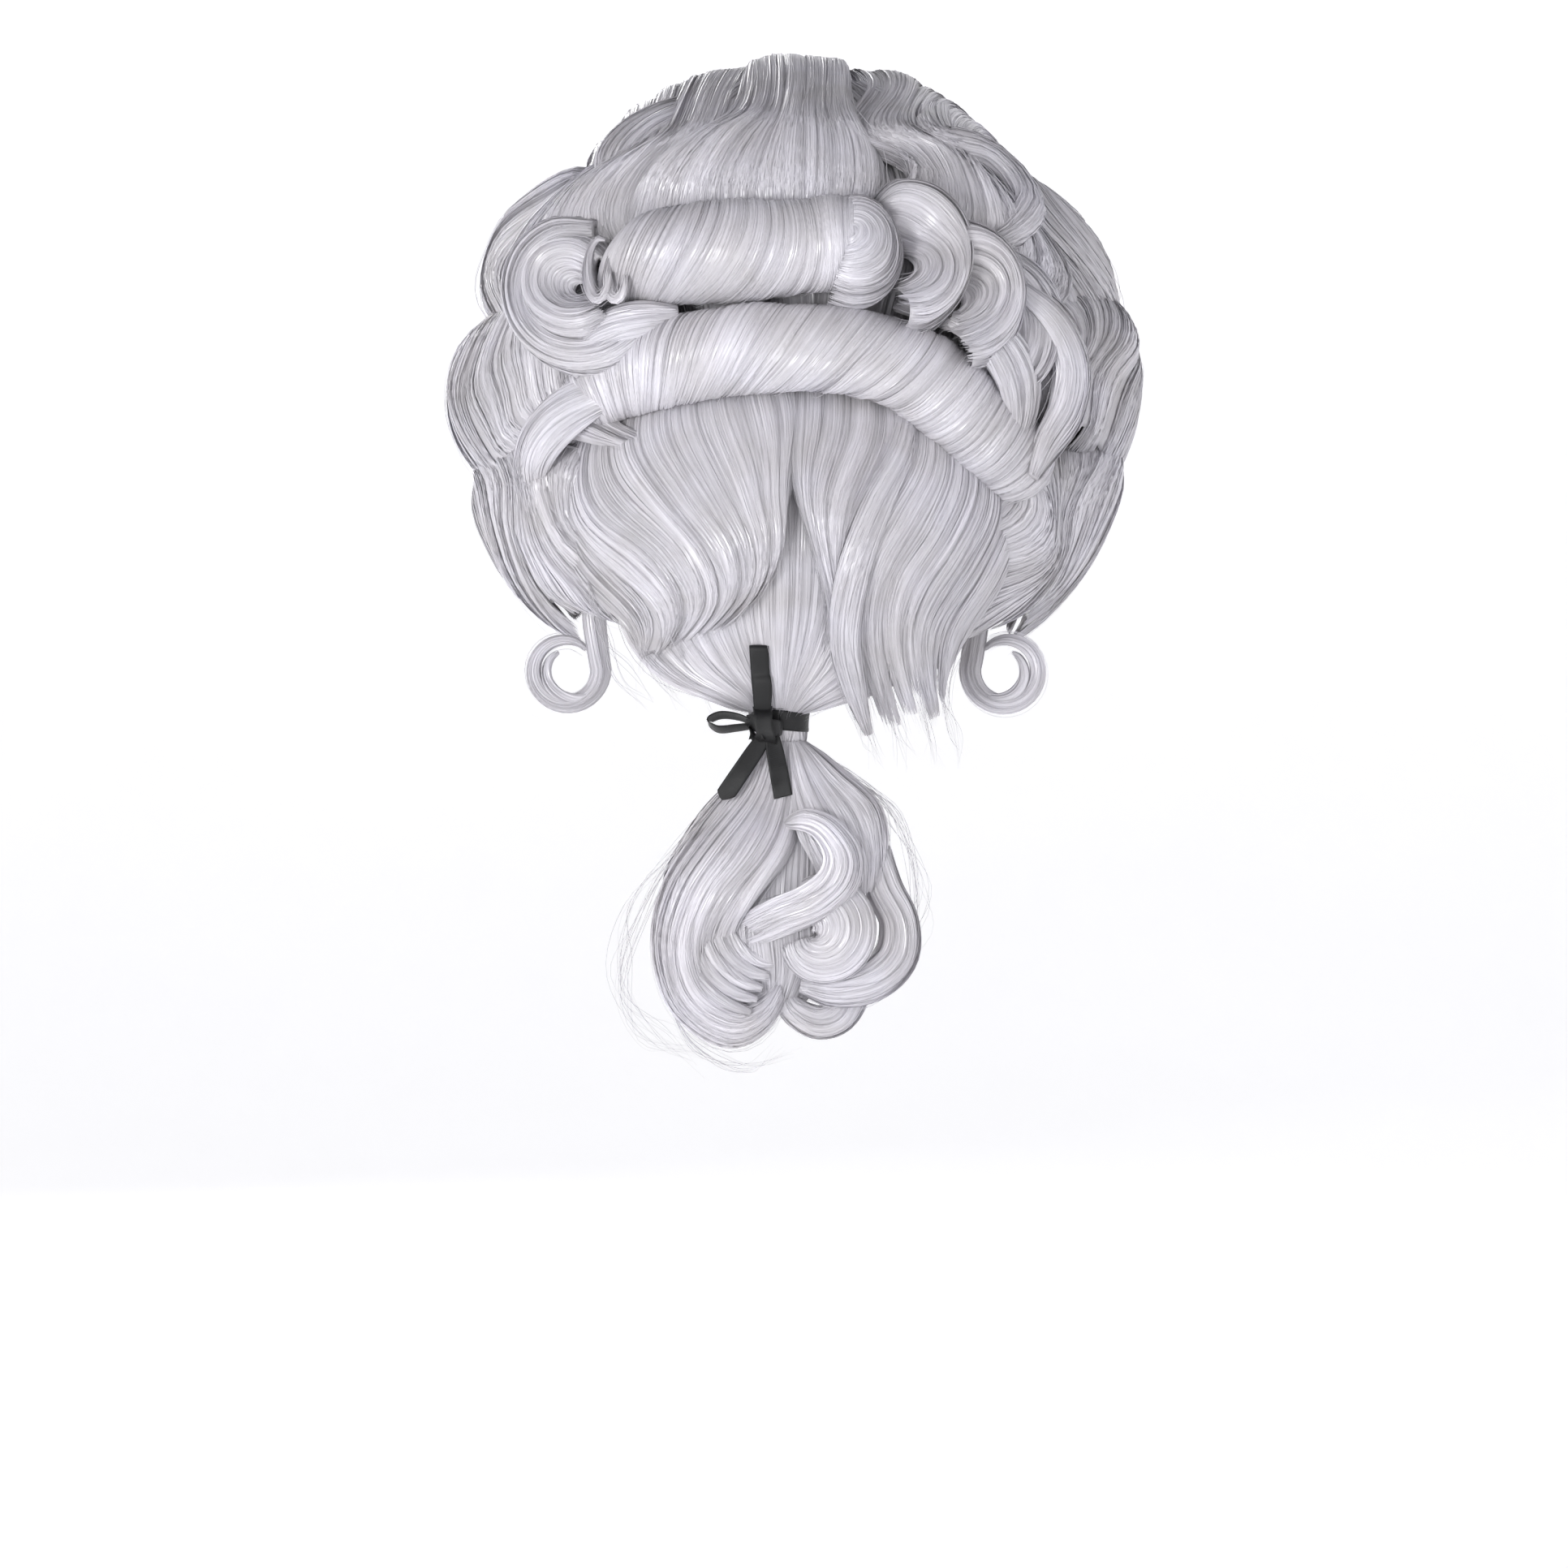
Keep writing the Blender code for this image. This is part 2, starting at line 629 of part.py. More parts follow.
def tie(parts):
    """The gathered stem of hair, with the elastic and the ribbon band round it."""
    top = STEM_TOP - 0.6 * MM
    bm = bmesh.new()
    bmesh.ops.create_cone(
        bm, cap_ends=True, segments=24, radius1=STEM_RADIUS, radius2=STEM_RADIUS, depth=top - STEM_BOTTOM
    )
    stem = mesh_object(bm)
    stem.location = (TIE.x, TIE.y, (top + STEM_BOTTOM) / 2)
    place(stem, "gathered_stem", HAIR_FINISH, parts)
    elastic = band_profile(BAND_INNER, ELASTIC_THICK, ELASTIC_HEIGHT)
    turned("hair_elastic", elastic, Vector((TIE.x, TIE.y, ELASTIC_Z)), ELASTIC_FINISH, parts)
    band = band_profile(BAND_INNER, RIBBON_THICK, RIBBON_WIDTH)
    turned("ribbon_band", band, Vector((TIE.x, TIE.y, TIE.z + 1 * MM)), SATIN_FINISH, parts)
    knot(parts)
    ribbon(parts)


def queue(parts):
    """The tied queue: a round neck that the tail turns on, the tail's body, and its locks and curls."""
    bm = bmesh.new()
    bmesh.ops.create_uvsphere(bm, u_segments=24, v_segments=14, radius=NECK_RADIUS)
    neck = mesh_object(bm)
    neck.location = PIVOT
    place(neck, "queue_neck", HAIR_FINISH, parts)
    sections = []
    turns = [math.radians(360 * k / 16) for k in range(16)]
    for z, x, y, half_x, half_y in QUEUE_STATIONS:
        ring_points = [(x + half_x * math.cos(t), y + half_y * math.sin(t), z) for t in turns]
        sections.append([Vector(point) * MM for point in ring_points])
    place(move_origin(loft(sections), PIVOT), "queue_body", HAIR_FINISH, parts)
    left = ((34, 92, -158), (43, 93, -178), (46, 93, -200), (40, 92, -224), (20, 91, -240))
    locks = (
        ("queue_lock_left", 10, 0.6, left),
        ("queue_lock_right", 11.5, 0.7, ((-25, 92, -158), (-30, 93, -170), (-32, 93, -182))),
        ("queue_curl_tip", 6.5, 0.7, ((-19, 90, -226), (-14, 90, -236), (-1, 90, -241))),
    )
    for name, radius, end_share, knots in locks:
        path = smooth_path([Vector(knot_at) * MM for knot_at in knots], 11)
        tube(name, path, tapered(radius * MM, 11, end_share), parts)
    centre = Vector((-29, 93, -210)) * MM
    curl = ring(centre, Vector((0, 1, 0)), 10.5 * MM, 60, 320, 20)
    tube("queue_curl_right", curl, tapered(6 * MM, 20, 0.75), parts)


def ringlets(parts):
    """The small ring-shaped locks that hang free below the side hair."""
    for side, sign, centre_x in (("left", 1, RINGLET_LEFT_X), ("right", -1, RINGLET_RIGHT_X)):
        centre = Vector((sign * centre_x, RINGLET_HINGE_Y, RINGLET_Z))
        turns = [math.radians(150 + 310 * k / 23) for k in range(24)]
        arc = [centre + RINGLET_RADIUS * Vector((sign * math.cos(t), 0, math.sin(t))) for t in turns]
        top = Vector((arc[0].x - sign * 1.5 * MM, RINGLET_HINGE_Y, RINGLET_HINGE_Z - 1 * MM))
        path = [top, top.lerp(arc[0], 0.5), *arc]
        radii = [RINGLET_TUBE * (1 - 0.35 * k / (len(path) - 1)) for k in range(len(path))]
        tube(f"ringlet_{side}", path, radii, parts)


def strap_point(angle, radius, height):
    """A point on the take-up straps' arc, by angle in degrees from +X."""
    a = math.radians(angle)
    return Vector((radius * math.cos(a), STRAP_AXIS_Y + radius * math.sin(a), STRAP_Z + height))


def arc_strip(name, start, end, radius, thick, width, finish, parts):
    """A level strip on the straps' arc, between two angles."""
    half = width / 2
    sections = []
    for angle in steps(start, end, max(2, round(abs(end - start) / 6) + 1)):
        inner = [strap_point(angle, radius, half), strap_point(angle, radius, -half)]
        outer = [strap_point(angle, radius + thick, -half), strap_point(angle, radius + thick, half)]
        sections.append(inner + outer)
    place(loft(sections), name, finish, parts)


def adjusters(parts):
    """The two take-up straps inside the nape, each with a hook at its end and a keeper that it slides through."""
    for side, start, end, turn in (("left", 46, 78, 1), ("right", 134, 102, -1)):
        strap = (STRAP_RADIUS, STRAP_THICK, STRAP_WIDTH, TAPE_FINISH)
        arc_strip(f"adjuster_strap_{side}", start, end, *strap, parts)
        hook = (STRAP_RADIUS, HOOK_THICK, HOOK_WIDTH, METAL_FINISH)
        hook_start = end + turn * 0.6
        arc_strip(f"adjuster_hook_{side}", hook_start, hook_start + turn * 4, *hook, parts)
        keeper = (KEEPER_RADIUS, KEEPER_THICK, KEEPER_WIDTH, NET_FINISH)
        keeper_start = start + turn * 12
        arc_strip(f"strap_keeper_{side}", keeper_start, keeper_start + turn * 6, *keeper, parts)


def build():
    clear_scene()
    parts = new_collection("costume_wig")
    cap(parts)
    crown_hair(parts)
    side_hair(parts)
    under_hair(parts)
    rolls(parts)
    back_curls(parts)
    nape_hair(parts)
    tie(parts)
    queue(parts)
    ringlets(parts)
    adjusters(parts)


build()
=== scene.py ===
"""The looks of the white costume wig: its groomed hair, satin ribbon and sewn cap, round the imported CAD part.

Lengths in this script are millimetres until a mesh is made, and +X is the wearer's left, +Y the back, +Z up.
Hair is made in two steps: a surface, as a grid of points with strands running along its rows, and then a
groom of that surface, which lays a ridged shell and several hundred thin strands along it.
"""
import math

import bpy
import numpy as np
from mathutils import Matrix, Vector


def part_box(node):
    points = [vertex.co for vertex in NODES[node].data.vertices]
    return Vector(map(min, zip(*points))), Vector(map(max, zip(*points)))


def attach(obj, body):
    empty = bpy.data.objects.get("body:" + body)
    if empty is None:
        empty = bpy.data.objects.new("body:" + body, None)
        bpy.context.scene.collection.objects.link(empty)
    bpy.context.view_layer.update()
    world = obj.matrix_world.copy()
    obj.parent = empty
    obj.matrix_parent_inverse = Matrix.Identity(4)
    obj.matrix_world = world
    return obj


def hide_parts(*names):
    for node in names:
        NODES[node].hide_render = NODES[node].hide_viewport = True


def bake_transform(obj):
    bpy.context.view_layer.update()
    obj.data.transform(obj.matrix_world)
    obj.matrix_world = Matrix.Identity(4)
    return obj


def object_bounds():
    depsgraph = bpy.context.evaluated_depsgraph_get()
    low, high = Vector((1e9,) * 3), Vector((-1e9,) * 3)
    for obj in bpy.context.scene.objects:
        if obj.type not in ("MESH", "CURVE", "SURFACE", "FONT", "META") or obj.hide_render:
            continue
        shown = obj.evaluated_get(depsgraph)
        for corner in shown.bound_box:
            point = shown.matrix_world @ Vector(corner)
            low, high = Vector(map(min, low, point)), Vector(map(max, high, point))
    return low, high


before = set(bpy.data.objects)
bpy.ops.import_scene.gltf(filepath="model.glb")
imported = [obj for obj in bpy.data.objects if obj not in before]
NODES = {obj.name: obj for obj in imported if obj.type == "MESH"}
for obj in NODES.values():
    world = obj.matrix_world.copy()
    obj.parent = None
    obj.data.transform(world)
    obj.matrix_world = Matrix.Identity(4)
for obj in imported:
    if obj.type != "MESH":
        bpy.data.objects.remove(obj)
CAD_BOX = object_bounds()

MM = 0.001
LEFT, BACK, UP = (1, 0, 0), (0, 1, 0), (0, 0, 1)

# The head-size oval and the rounded outline of the dressed hair, as in the CAD part.
SCALP = np.array([78.0, 98.0, 105.0])
SCALP_BELOW = 140.0
OUTLINE_CENTRE = np.array([0.0, 8.0, 12.0])
OUTLINE = np.array([138.0, 126.0, 138.0])
OUTLINE_BELOW = 142.0
HAIR_START = 6.0

# The groom: how flat the ridges' tops are, how far the shell lies under its strands and how thick it is,
# how far strands lift and turn in degrees about their own length, and the size of thin and stray hairs.
RIDGE_SHARPNESS = 2.4
SHELL_UNDER = 0.25
SHELL_THICK = 2.2
STRAND_LIFT = 0.4
STRAND_TILT = 19.0
THIN_WIDTH = 0.36
STRAY_WIDTH = 0.2
STRAY_FLARE = 3.5

# The level circle that the middle lines of the rolls follow, and the line that the nape hair rounds.
ROLL_CIRCLE = 120
ROUND_MIDDLE_Y = 6

# The camera stands level behind the wig.
CAMERA_PLACE = np.array([4.6, 2000.0, -144.0])
CAMERA_LENS = 112.8


def centre_of(node):
    low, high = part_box(node)
    return np.array((low + high) / 2) / MM


TIE = centre_of("ribbon_band")
PIVOT = centre_of("queue_neck")

# ---------------------------------------------------------------- curves and surfaces


def spline(knots, t):
    """Points on a smooth curve through every knot, at places t from 0 to 1."""
    k = np.asarray(knots, float)
    ends = np.concatenate([[2 * k[0] - k[1]], k, [2 * k[-1] - k[-2]]])
    s = np.clip(t, 0, 1) * (len(k) - 1)
    i = np.minimum(s.astype(int), len(k) - 2)
    f = (s - i).reshape(s.shape + (1,) * (k.ndim - 1))
    a, b, c, d = ends[i], ends[i + 1], ends[i + 2], ends[i + 3]
    return 0.5 * (2 * b + (c - a) * f + (2 * a - 5 * b + 4 * c - d) * f**2 + (3 * b - a - 3 * c + d) * f**3)


def even(knots, count):
    """Points at equal steps along the smooth curve through the knots."""
    fine = spline(knots, np.linspace(0, 1, 400))
    run = np.concatenate([[0], np.cumsum(np.linalg.norm(np.diff(fine, axis=0), axis=1))])
    t = np.interp(np.linspace(0, run[-1], count), run, np.linspace(0, 1, 400))
    return spline(knots, t)


def stations(table, t):
    """A smooth value along 0 to 1 from a short table of values at equal steps."""
    return spline(np.asarray(table, float)[:, None], t)[..., 0]


def unit(v):
    return v / np.maximum(np.linalg.norm(v, axis=-1, keepdims=True), 1e-9)


def rise_of(z, above, below):
    return np.where(z >= 0, above, below)


def on_oval(direction, radii, below):
    d = np.asarray(direction, float)
    scale = np.array([radii[0], radii[1], float(rise_of(d[2], radii[2], below))])
    point = d * scale
    return point, unit(point / scale**2)


def hair_point(direction, share):
    """A point this share of the way from the hair's foot to its outline, in a direction from the centre."""
    foot, normal = on_oval(direction, SCALP, SCALP_BELOW)
    foot = foot + normal * HAIR_START
    outer = OUTLINE_CENTRE + on_oval(direction, OUTLINE, OUTLINE_BELOW)[0]
    return foot + (outer - foot) * share


def around(azimuth, polar, share=1.0):
    """By azimuth in degrees from +X towards +Y, and polar angle down from the crown."""
    a, p = math.radians(azimuth), math.radians(polar)
    return hair_point((math.sin(p) * math.cos(a), math.sin(p) * math.sin(a), math.cos(p)), share)


def over(sideways, backwards, share=1.0):
    """By two tilts in degrees over the crown, sideways towards +X and backwards towards +Y."""
    d = np.array([math.tan(math.radians(sideways)), math.tan(math.radians(backwards)), 1.0])
    return hair_point(d / np.linalg.norm(d), share)


def seen(x, z, y):
    """The point at depth y that the camera sees in line with (x, z) of the upright plane y = 0."""
    share = 1 - y / CAMERA_PLACE[1]
    return np.array([
        CAMERA_PLACE[0] + (x - CAMERA_PLACE[0]) * share,
        y,
        CAMERA_PLACE[2] + (z - CAMERA_PLACE[2]) * share,
    ])


def behind(x, z, lift=0.0):
    """The point of the hair's outline, or lifted off it, that the camera sees at (x, z)."""
    y = 100.0
    for _ in range(8):
        p = seen(x, z, y)
        below = rise_of(p[2] - OUTLINE_CENTRE[2], OUTLINE[2], OUTLINE_BELOW)
        rest = 1 - (p[0] / OUTLINE[0]) ** 2 - ((p[2] - OUTLINE_CENTRE[2]) / below) ** 2
        y = OUTLINE_CENTRE[1] + OUTLINE[1] * math.sqrt(max(float(rest), 0.0))
    p = seen(x, z, y)
    return p + unit((p - OUTLINE_CENTRE) / OUTLINE**2) * lift


NAPE_HEIGHTS = (20, 0, -20, -40, -60, -80, -100, -120, -140)
NAPE_DEPTHS = (120, 126, 131, 132, 128, 119, 108, 99, 94)
NAPE_WIDTHS = (124, 122, 119, 116, 112, 106, 99, 92, 88)


def nape(x, z, lift=0.0):
    """The point on the rounded back of the nape hair that the camera sees at (x, z)."""
    depth = np.interp(-z, -np.array(NAPE_HEIGHTS, float), NAPE_DEPTHS)
    wide = np.interp(-z, -np.array(NAPE_HEIGHTS, float), NAPE_WIDTHS)
    round_off = math.sqrt(max(1 - (x / wide) ** 2, 0.02))
    return seen(x, z, ROUND_MIDDLE_Y + (depth - ROUND_MIDDLE_Y) * round_off + lift)


def rim(psi, z):
    """A point on the level circle that the rolls' middle lines follow, psi degrees round from the back."""
    a = math.radians(psi)
    return np.array([ROLL_CIRCLE * math.sin(a), ROUND_MIDDLE_Y + ROLL_CIRCLE * math.cos(a), z])


def trail(place, *spots):
    """The points that a place, one of the functions above, gives for each set of its arguments."""
    return [place(*spot) for spot in spots]


def trails(place, *lines):
    """Guide lines side by side, one for each line of spots."""
    return [trail(place, *line) for line in lines]


def sheet(guides, columns=121, rows=81):
    """A surface through guide lines, each a list of points from root to tip."""
    lines = np.stack([even(np.array(g), rows) for g in guides])
    return spline(lines, np.linspace(0, 1, columns))


def roll(axis, radii, start, turn, slant=0.0, root=0.8, tip=0.72, columns=161, rows=61):
    """Hair wound round a middle line by turn degrees, from start degrees above the level outside."""
    t = np.linspace(0, 1, columns)[:, None] + slant * (np.linspace(0, 1, rows)[None, :] - 0.5)
    place = spline(axis, t)
    step = 1e-3
    along = unit(spline(axis, np.clip(t + step, 0, 1)) - spline(axis, np.clip(t - step, 0, 1)))
    out = place - np.array([0, ROUND_MIDDLE_Y, 0])
    out[..., 2] = 0
    out = unit(out - along * np.sum(out * along, axis=-1, keepdims=True))
    up = np.cross(along, out)
    up = up * np.sign(up[..., 2:])
    v = np.linspace(0, 1, rows)
    grip = stations((root, 1.0, 1.0, 1.0, 1.0, 0.96, tip), v)
    angle = np.radians(start + turn * v)[None, :, None]
    radius = (stations(radii, t) * grip[None, :])[..., None]
    return place + radius * (np.cos(angle) * out + np.sin(angle) * up)


def lock(knots, radii, flat=1.0, face=None, columns=49, rows=81):
    """A rounded lock along its knots, flattened towards the face direction, with its strands lengthwise."""
    path = even(np.array(knots, float), rows)
    along = unit(np.gradient(path, axis=0))
    if face is None:
        out = path - OUTLINE_CENTRE
    else:
        out = np.tile(np.asarray(face, float), (rows, 1))
    out = unit(out - along * np.sum(out * along, axis=1, keepdims=True))
    side = np.cross(along, out)
    v = np.linspace(0, 1, rows)
    radius = stations(radii, v)[None, :, None]
    angle = np.linspace(0, 2 * math.pi, columns)[:, None, None]
    return path + radius * (np.cos(angle) * side + np.sin(angle) * out * flat)


def arc(centre, across, upright, radius, start, turn, count=9):
    """Points on an arc in the plane of two directions; the radius may run between two values."""
    radii = np.linspace(*radius, count) if isinstance(radius, tuple) else np.full(count, radius)
    angles = np.radians(np.linspace(start, start + turn, count))
    across, upright = np.asarray(across, float), np.asarray(upright, float)
    return [centre + r * (math.cos(a) * across + math.sin(a) * upright) for r, a in zip(radii, angles)]


def coil(centre, radii, lifts, start, turn, count=9, drop=5.0, squash=1.0):
    """Guide lines for hair that winds round a centre on the back of the outline, from its eye outwards."""
    guides = []
    for radius, lift in zip(radii, lifts):
        line = []
        for k, angle in enumerate(np.radians(np.linspace(start, start + turn, count))):
            sink = drop * (abs(2 * k / (count - 1) - 1)) ** 4
            x = centre[0] + radius * math.cos(angle)
            z = centre[1] + radius * squash * math.sin(angle)
            line.append(behind(x, z, lift - sink))
        guides.append(line)
    return guides


# ---------------------------------------------------------------- grooming


def at(grid, u, v):
    """Values of a grid of points at fractional places, by straight lines between its points."""
    columns, rows = grid.shape[:2]
    x = np.clip(u, 0, 1) * (columns - 1)
    y = np.clip(v, 0, 1) * (rows - 1)
    i = np.minimum(x.astype(int), columns - 2)
    j = np.minimum(y.astype(int), rows - 2)
    fx, fy = (x - i)[..., None], (y - j)[..., None]
    low = grid[i, j] * (1 - fy) + grid[i, j + 1] * fy
    high = grid[i + 1, j] * (1 - fy) + grid[i + 1, j + 1] * fy
    return low * (1 - fx) + high * fx


def normals_of(grid, closed):
    if closed:
        wrapped = np.concatenate([grid[-2:-1], grid, grid[1:2]])
        across = (wrapped[2:] - wrapped[:-2]) / 2
    else:
        across = np.gradient(grid, axis=0)
    return unit(np.cross(across, np.gradient(grid, axis=1)))


class Waves:
    """Smooth random waves over the strands and along them."""

    def __init__(self, rng, across, along, closed=False):
        count = 5
        self.a = rng.uniform(-across, across, count)
        if closed:
            self.a = np.round(self.a)
        self.b = rng.uniform(-along, along, count)
        self.phase = rng.uniform(0, 2 * math.pi, count)

    def __call__(self, s, v):
        total = 0
        for a, b, phase in zip(self.a, self.b, self.phase):
            total = total + np.sin(2 * math.pi * (a * s + b * v) + phase)
        return total / 2.5


class Locks:
    """Rounded ridges of uneven widths, side by side across a surface, that swell and fade lengthwise."""

    def __init__(self, rng, count, depth, sharp):
        widths = rng.uniform(0.35, 1.65, count)
        self.edges = np.concatenate([[0], np.cumsum(widths)]) / widths.sum()
        self.tall = rng.uniform(0.45, 1.0, count) * depth
        self.short = rng.uniform(0, 1, count)
        self.rate = rng.uniform(0.3, 1.0, count)
        self.phase = rng.uniform(0, 2 * math.pi, count)
        self.count = count
        self.sharp = sharp

    def which(self, s):
        return np.clip(np.searchsorted(self.edges, s, side="right") - 1, 0, self.count - 1)

    def middle(self, s):
        i = self.which(s)
        return (self.edges[i] + self.edges[i + 1]) / 2

    def height(self, s, v):
        i = self.which(s)
        d = (s - self.edges[i]) / (self.edges[i + 1] - self.edges[i]) * 2 - 1
        swell = 0.62 + 0.38 * np.sin(2 * math.pi * self.rate[i] * v + self.phase[i])
        return self.tall[i] * (1 - np.abs(d) ** self.sharp) * swell


class Ground:
    """A surface that strands lie on, with its ridges."""

    def __init__(self, grid, normal, surface, big, closed, tone, depth, root_dark):
        self.grid, self.normal, self.surface, self.big = grid, normal, surface, big
        self.closed, self.tone, self.depth, self.root_dark = closed, tone, depth, root_dark

    def at(self, s, v):
        u, height = self.surface(s, v)
        return at(self.grid, u, v), unit(at(self.normal, u, v)), height

    # Painted shade: darker deep in the grooves between the ridges and over the first seventh from the root,
    # where the hair comes from under other hair, times the piece's painted lightness.
    def shade(self, height, v):
        groove_shade_mask = np.clip(1 - height / max(0.8 * self.depth, 0.1), 0, 1)
        return self.tone * (1 - 0.16 * groove_shade_mask) * (1 - self.root_dark * np.clip(1 - v * 7, 0, 1))


class Hair:
    """Collects the shells and strands of one piece, and makes its mesh."""

    def __init__(self, name, seed):
        self.name = name
        self.rng = np.random.default_rng(seed)
        self.points, self.tones, self.loops, self.sizes, self.slots = [], [], [], [], []
        self.count = 0

    def add(self, points, tones, faces, slot):
        self.points.append(points.reshape(-1, 3))
        self.tones.append(tones.reshape(-1))
        for block in faces:
            self.loops.append((block + self.count).reshape(-1))
            self.sizes.append(np.full(len(block), block.shape[1], np.int32))
            self.slots.append(np.full(len(block), slot, np.int32))
        self.count += points.reshape(-1, 3).shape[0]

    def groom(self, grid, strands, locks, depth, width=0.75, closed=False, drift=0.3, ends=(0.04, 0.12),
              tone=1.0, steps=24, fine=0.35, fly=0, fuzz=0.35, cuts=0.0, root_dark=0.0, curl=4.0, tuck=4.0,
              stop=0.94, clump=0.0):
        """Lays a ridged shell and its strands along a surface.

        locks and depth are the number and height of the ridges, drift how far they wander sideways in lock
        widths, ends how far strands start after the root and stop before the tip, cuts how unevenly whole
        locks stop, fine the share of thin hairs, fly the number of stray ones and fuzz how far single
        strands wander. An open sheet's side edges bend inwards by curl and its root by tuck, its shell ends
        at stop, before its strands, and the strands of each lock draw together towards the tip by clump.
        """
        # The piece's own lightness is painted light and shade, and the darkening near the root is painted
        # shade; both go into each point's colour value.
        rng = self.rng
        normal = normals_of(grid, closed)
        if closed:
            outward = np.sum(normal * (grid - grid[:-1].mean(axis=0, keepdims=True)))
        else:
            outward = np.sum(normal * (grid - OUTLINE_CENTRE))
        if outward < 0:
            normal = -normal
        big = Locks(rng, locks, depth, RIDGE_SHARPNESS)
        small = Locks(rng, locks * 5, depth * 0.2, 2.0)
        wander = Waves(rng, locks * 0.12, 1.2, closed)
        swell = Waves(rng, locks * 0.2, 1.0, closed)
        sway = drift / locks

        def surface(s, v):
            u = s + sway * wander(s, v) + (big.middle(s) - s) * clump * np.clip((v - 0.5) * 2, 0, 1) ** 1.5
            u = u % 1.0 if closed else u
            height = big.height(s, v) + small.height(s, v) + 0.2 * depth * swell(s, v)
            envelope = np.clip(np.minimum(v * 6 + 0.3, (1 - v) * 6 + 0.3), 0, 1)
            height = height * envelope
            if not closed:
                height = height - curl * (1 - np.clip(np.minimum(s, 1 - s) * 11, 0, 1)) ** 2
                height = height - tuck * (1 - np.clip(v * 9, 0, 1)) ** 2
            return u, height

        ground = Ground(grid, normal, surface, big, closed, tone, depth, root_dark)
        self.shell(ground, locks, 1.0 if closed else stop)
        run = (STRAND_LIFT, ends, steps, fuzz, cuts)
        thin_run = (STRAND_LIFT * 1.5, ends, steps, fuzz * 1.6, cuts)
        self.flat_strands(ground, int(1.5 * strands), width, run)
        self.flat_strands(ground, int(strands * fine), THIN_WIDTH, thin_run)
        if fly:
            self.threads(ground, fly, STRAY_WIDTH, (STRAND_LIFT * 2, (0.0, 0.0), steps, fuzz * 6, 0.0),
                         STRAY_FLARE)

    def lay(self, guides, columns=121, **how):
        """Grooms the surface through guide lines."""
        self.groom(sheet(guides, columns), **how)

    def tuft(self, knots, radii, flat=1.0, face=None, rows=81, depth=1.0, steps=20, **how):
        """Grooms a rounded lock along its knots."""
        self.groom(lock(knots, radii, flat, face, rows=rows), depth=depth, steps=steps, closed=True, **how)

    def shell(self, ground, locks, stop):
        """A thin closed shell under the strands, with the same ridges and, on a lock, a cap at each end."""
        columns, rows = min(max(locks * 8, 60), 200), 44
        s = np.linspace(0, 1, columns + 1)[:, None] * np.ones((1, rows))
        if ground.closed:
            s = s[:-1]
        v = np.linspace(0.0, stop, rows)[None, :] * np.ones((s.shape[0], 1))
        face, out, height = ground.at(s, v)
        outer = face + out * (height - SHELL_UNDER)[..., None]
        # The shell is painted darker than its strands, as painted shade in the gaps between them.
        shade = ground.shade(height, v) * 0.93
        m, n = s.shape
        index = np.arange(m * n).reshape(m, n)
        if ground.closed:
            index = np.concatenate([index, index[:1]])
            quads = np.stack([index[:-1, :-1], index[1:, :-1], index[1:, 1:], index[:-1, 1:]], axis=-1)
            ends = [index[:-1, 0][None, ::-1], index[:-1, -1][None, :]]
            self.add(outer, shade, [quads.reshape(-1, 4), *ends], 0)
            return
        thin = np.clip(np.minimum(np.minimum(s, 1 - s) * 12, (stop - v) * 6), 0.12, 1)
        inner = outer - out * (SHELL_THICK * thin)[..., None]
        quads = np.stack([index[:-1, :-1], index[1:, :-1], index[1:, 1:], index[:-1, 1:]],
                         axis=-1).reshape(-1, 4)
        back = (quads + m * n)[:, ::-1]
        edge = np.concatenate([index[:, 0], index[-1, 1:], index[-2::-1, -1], index[0, -2:0:-1]])
        after = np.roll(edge, -1)
        rim_faces = np.stack([after, edge, edge + m * n, after + m * n], axis=-1)
        both = np.concatenate([outer.reshape(-1, 3), inner.reshape(-1, 3)])
        # Its inner side is painted darker still, as painted shade.
        shades = np.concatenate([shade.reshape(-1), shade.reshape(-1) * 0.85])
        self.add(both, shades, [quads, back, rim_faces], 0)

    def lines(self, ground, count, run, flare):
        """Where a set of strands runs: its points, the way out, the way across, and each point's shade."""
        lift, ends, steps, fuzz, cuts = run
        rng = self.rng
        s = (np.arange(count) + rng.uniform(0, 1, count)) / count
        start = rng.uniform(0, 1, count) ** 2 * ends[0]
        stop = 1 - rng.uniform(0, 1, count) ** 1.4 * ends[1] - cuts * ground.big.short[ground.big.which(s)]
        k = np.linspace(0, 1, steps)[None, :]
        v = start[:, None] + (stop - start)[:, None] * k
        place, out, height = ground.at(s[:, None] * np.ones_like(k), v)
        along = unit(np.gradient(place, axis=1))
        side = unit(np.cross(along, out))
        rate = rng.uniform(0.4, 1.6, (count, 1))
        phase = rng.uniform(0, 2 * math.pi, (count, 2))
        loose = np.clip(k * 1.4, 0.25, 1)
        sideways = fuzz * loose * np.sin(2 * math.pi * rate * k + phase[:, :1])
        raised = fuzz * 0.4 * loose * np.sin(2 * math.pi * rate * 1.3 * k + phase[:, 1:])
        own = rng.uniform(0, 1, (count, 1)) ** 1.5 * lift
        away = flare * rng.uniform(0, 1, (count, 1)) ** 2 * k**2
        place = place + out * (height + own + raised + away)[..., None] + side * sideways[..., None]
        # Each strand's colour value: painted shade from the grooves and the root, times a random lightness of
        # its own.
        shade = ground.shade(height, v) * rng.uniform(0.88, 1.06, (count, 1))
        return place, out, side, shade, 1 - 0.8 * np.abs(2 * k - 1) ** 7

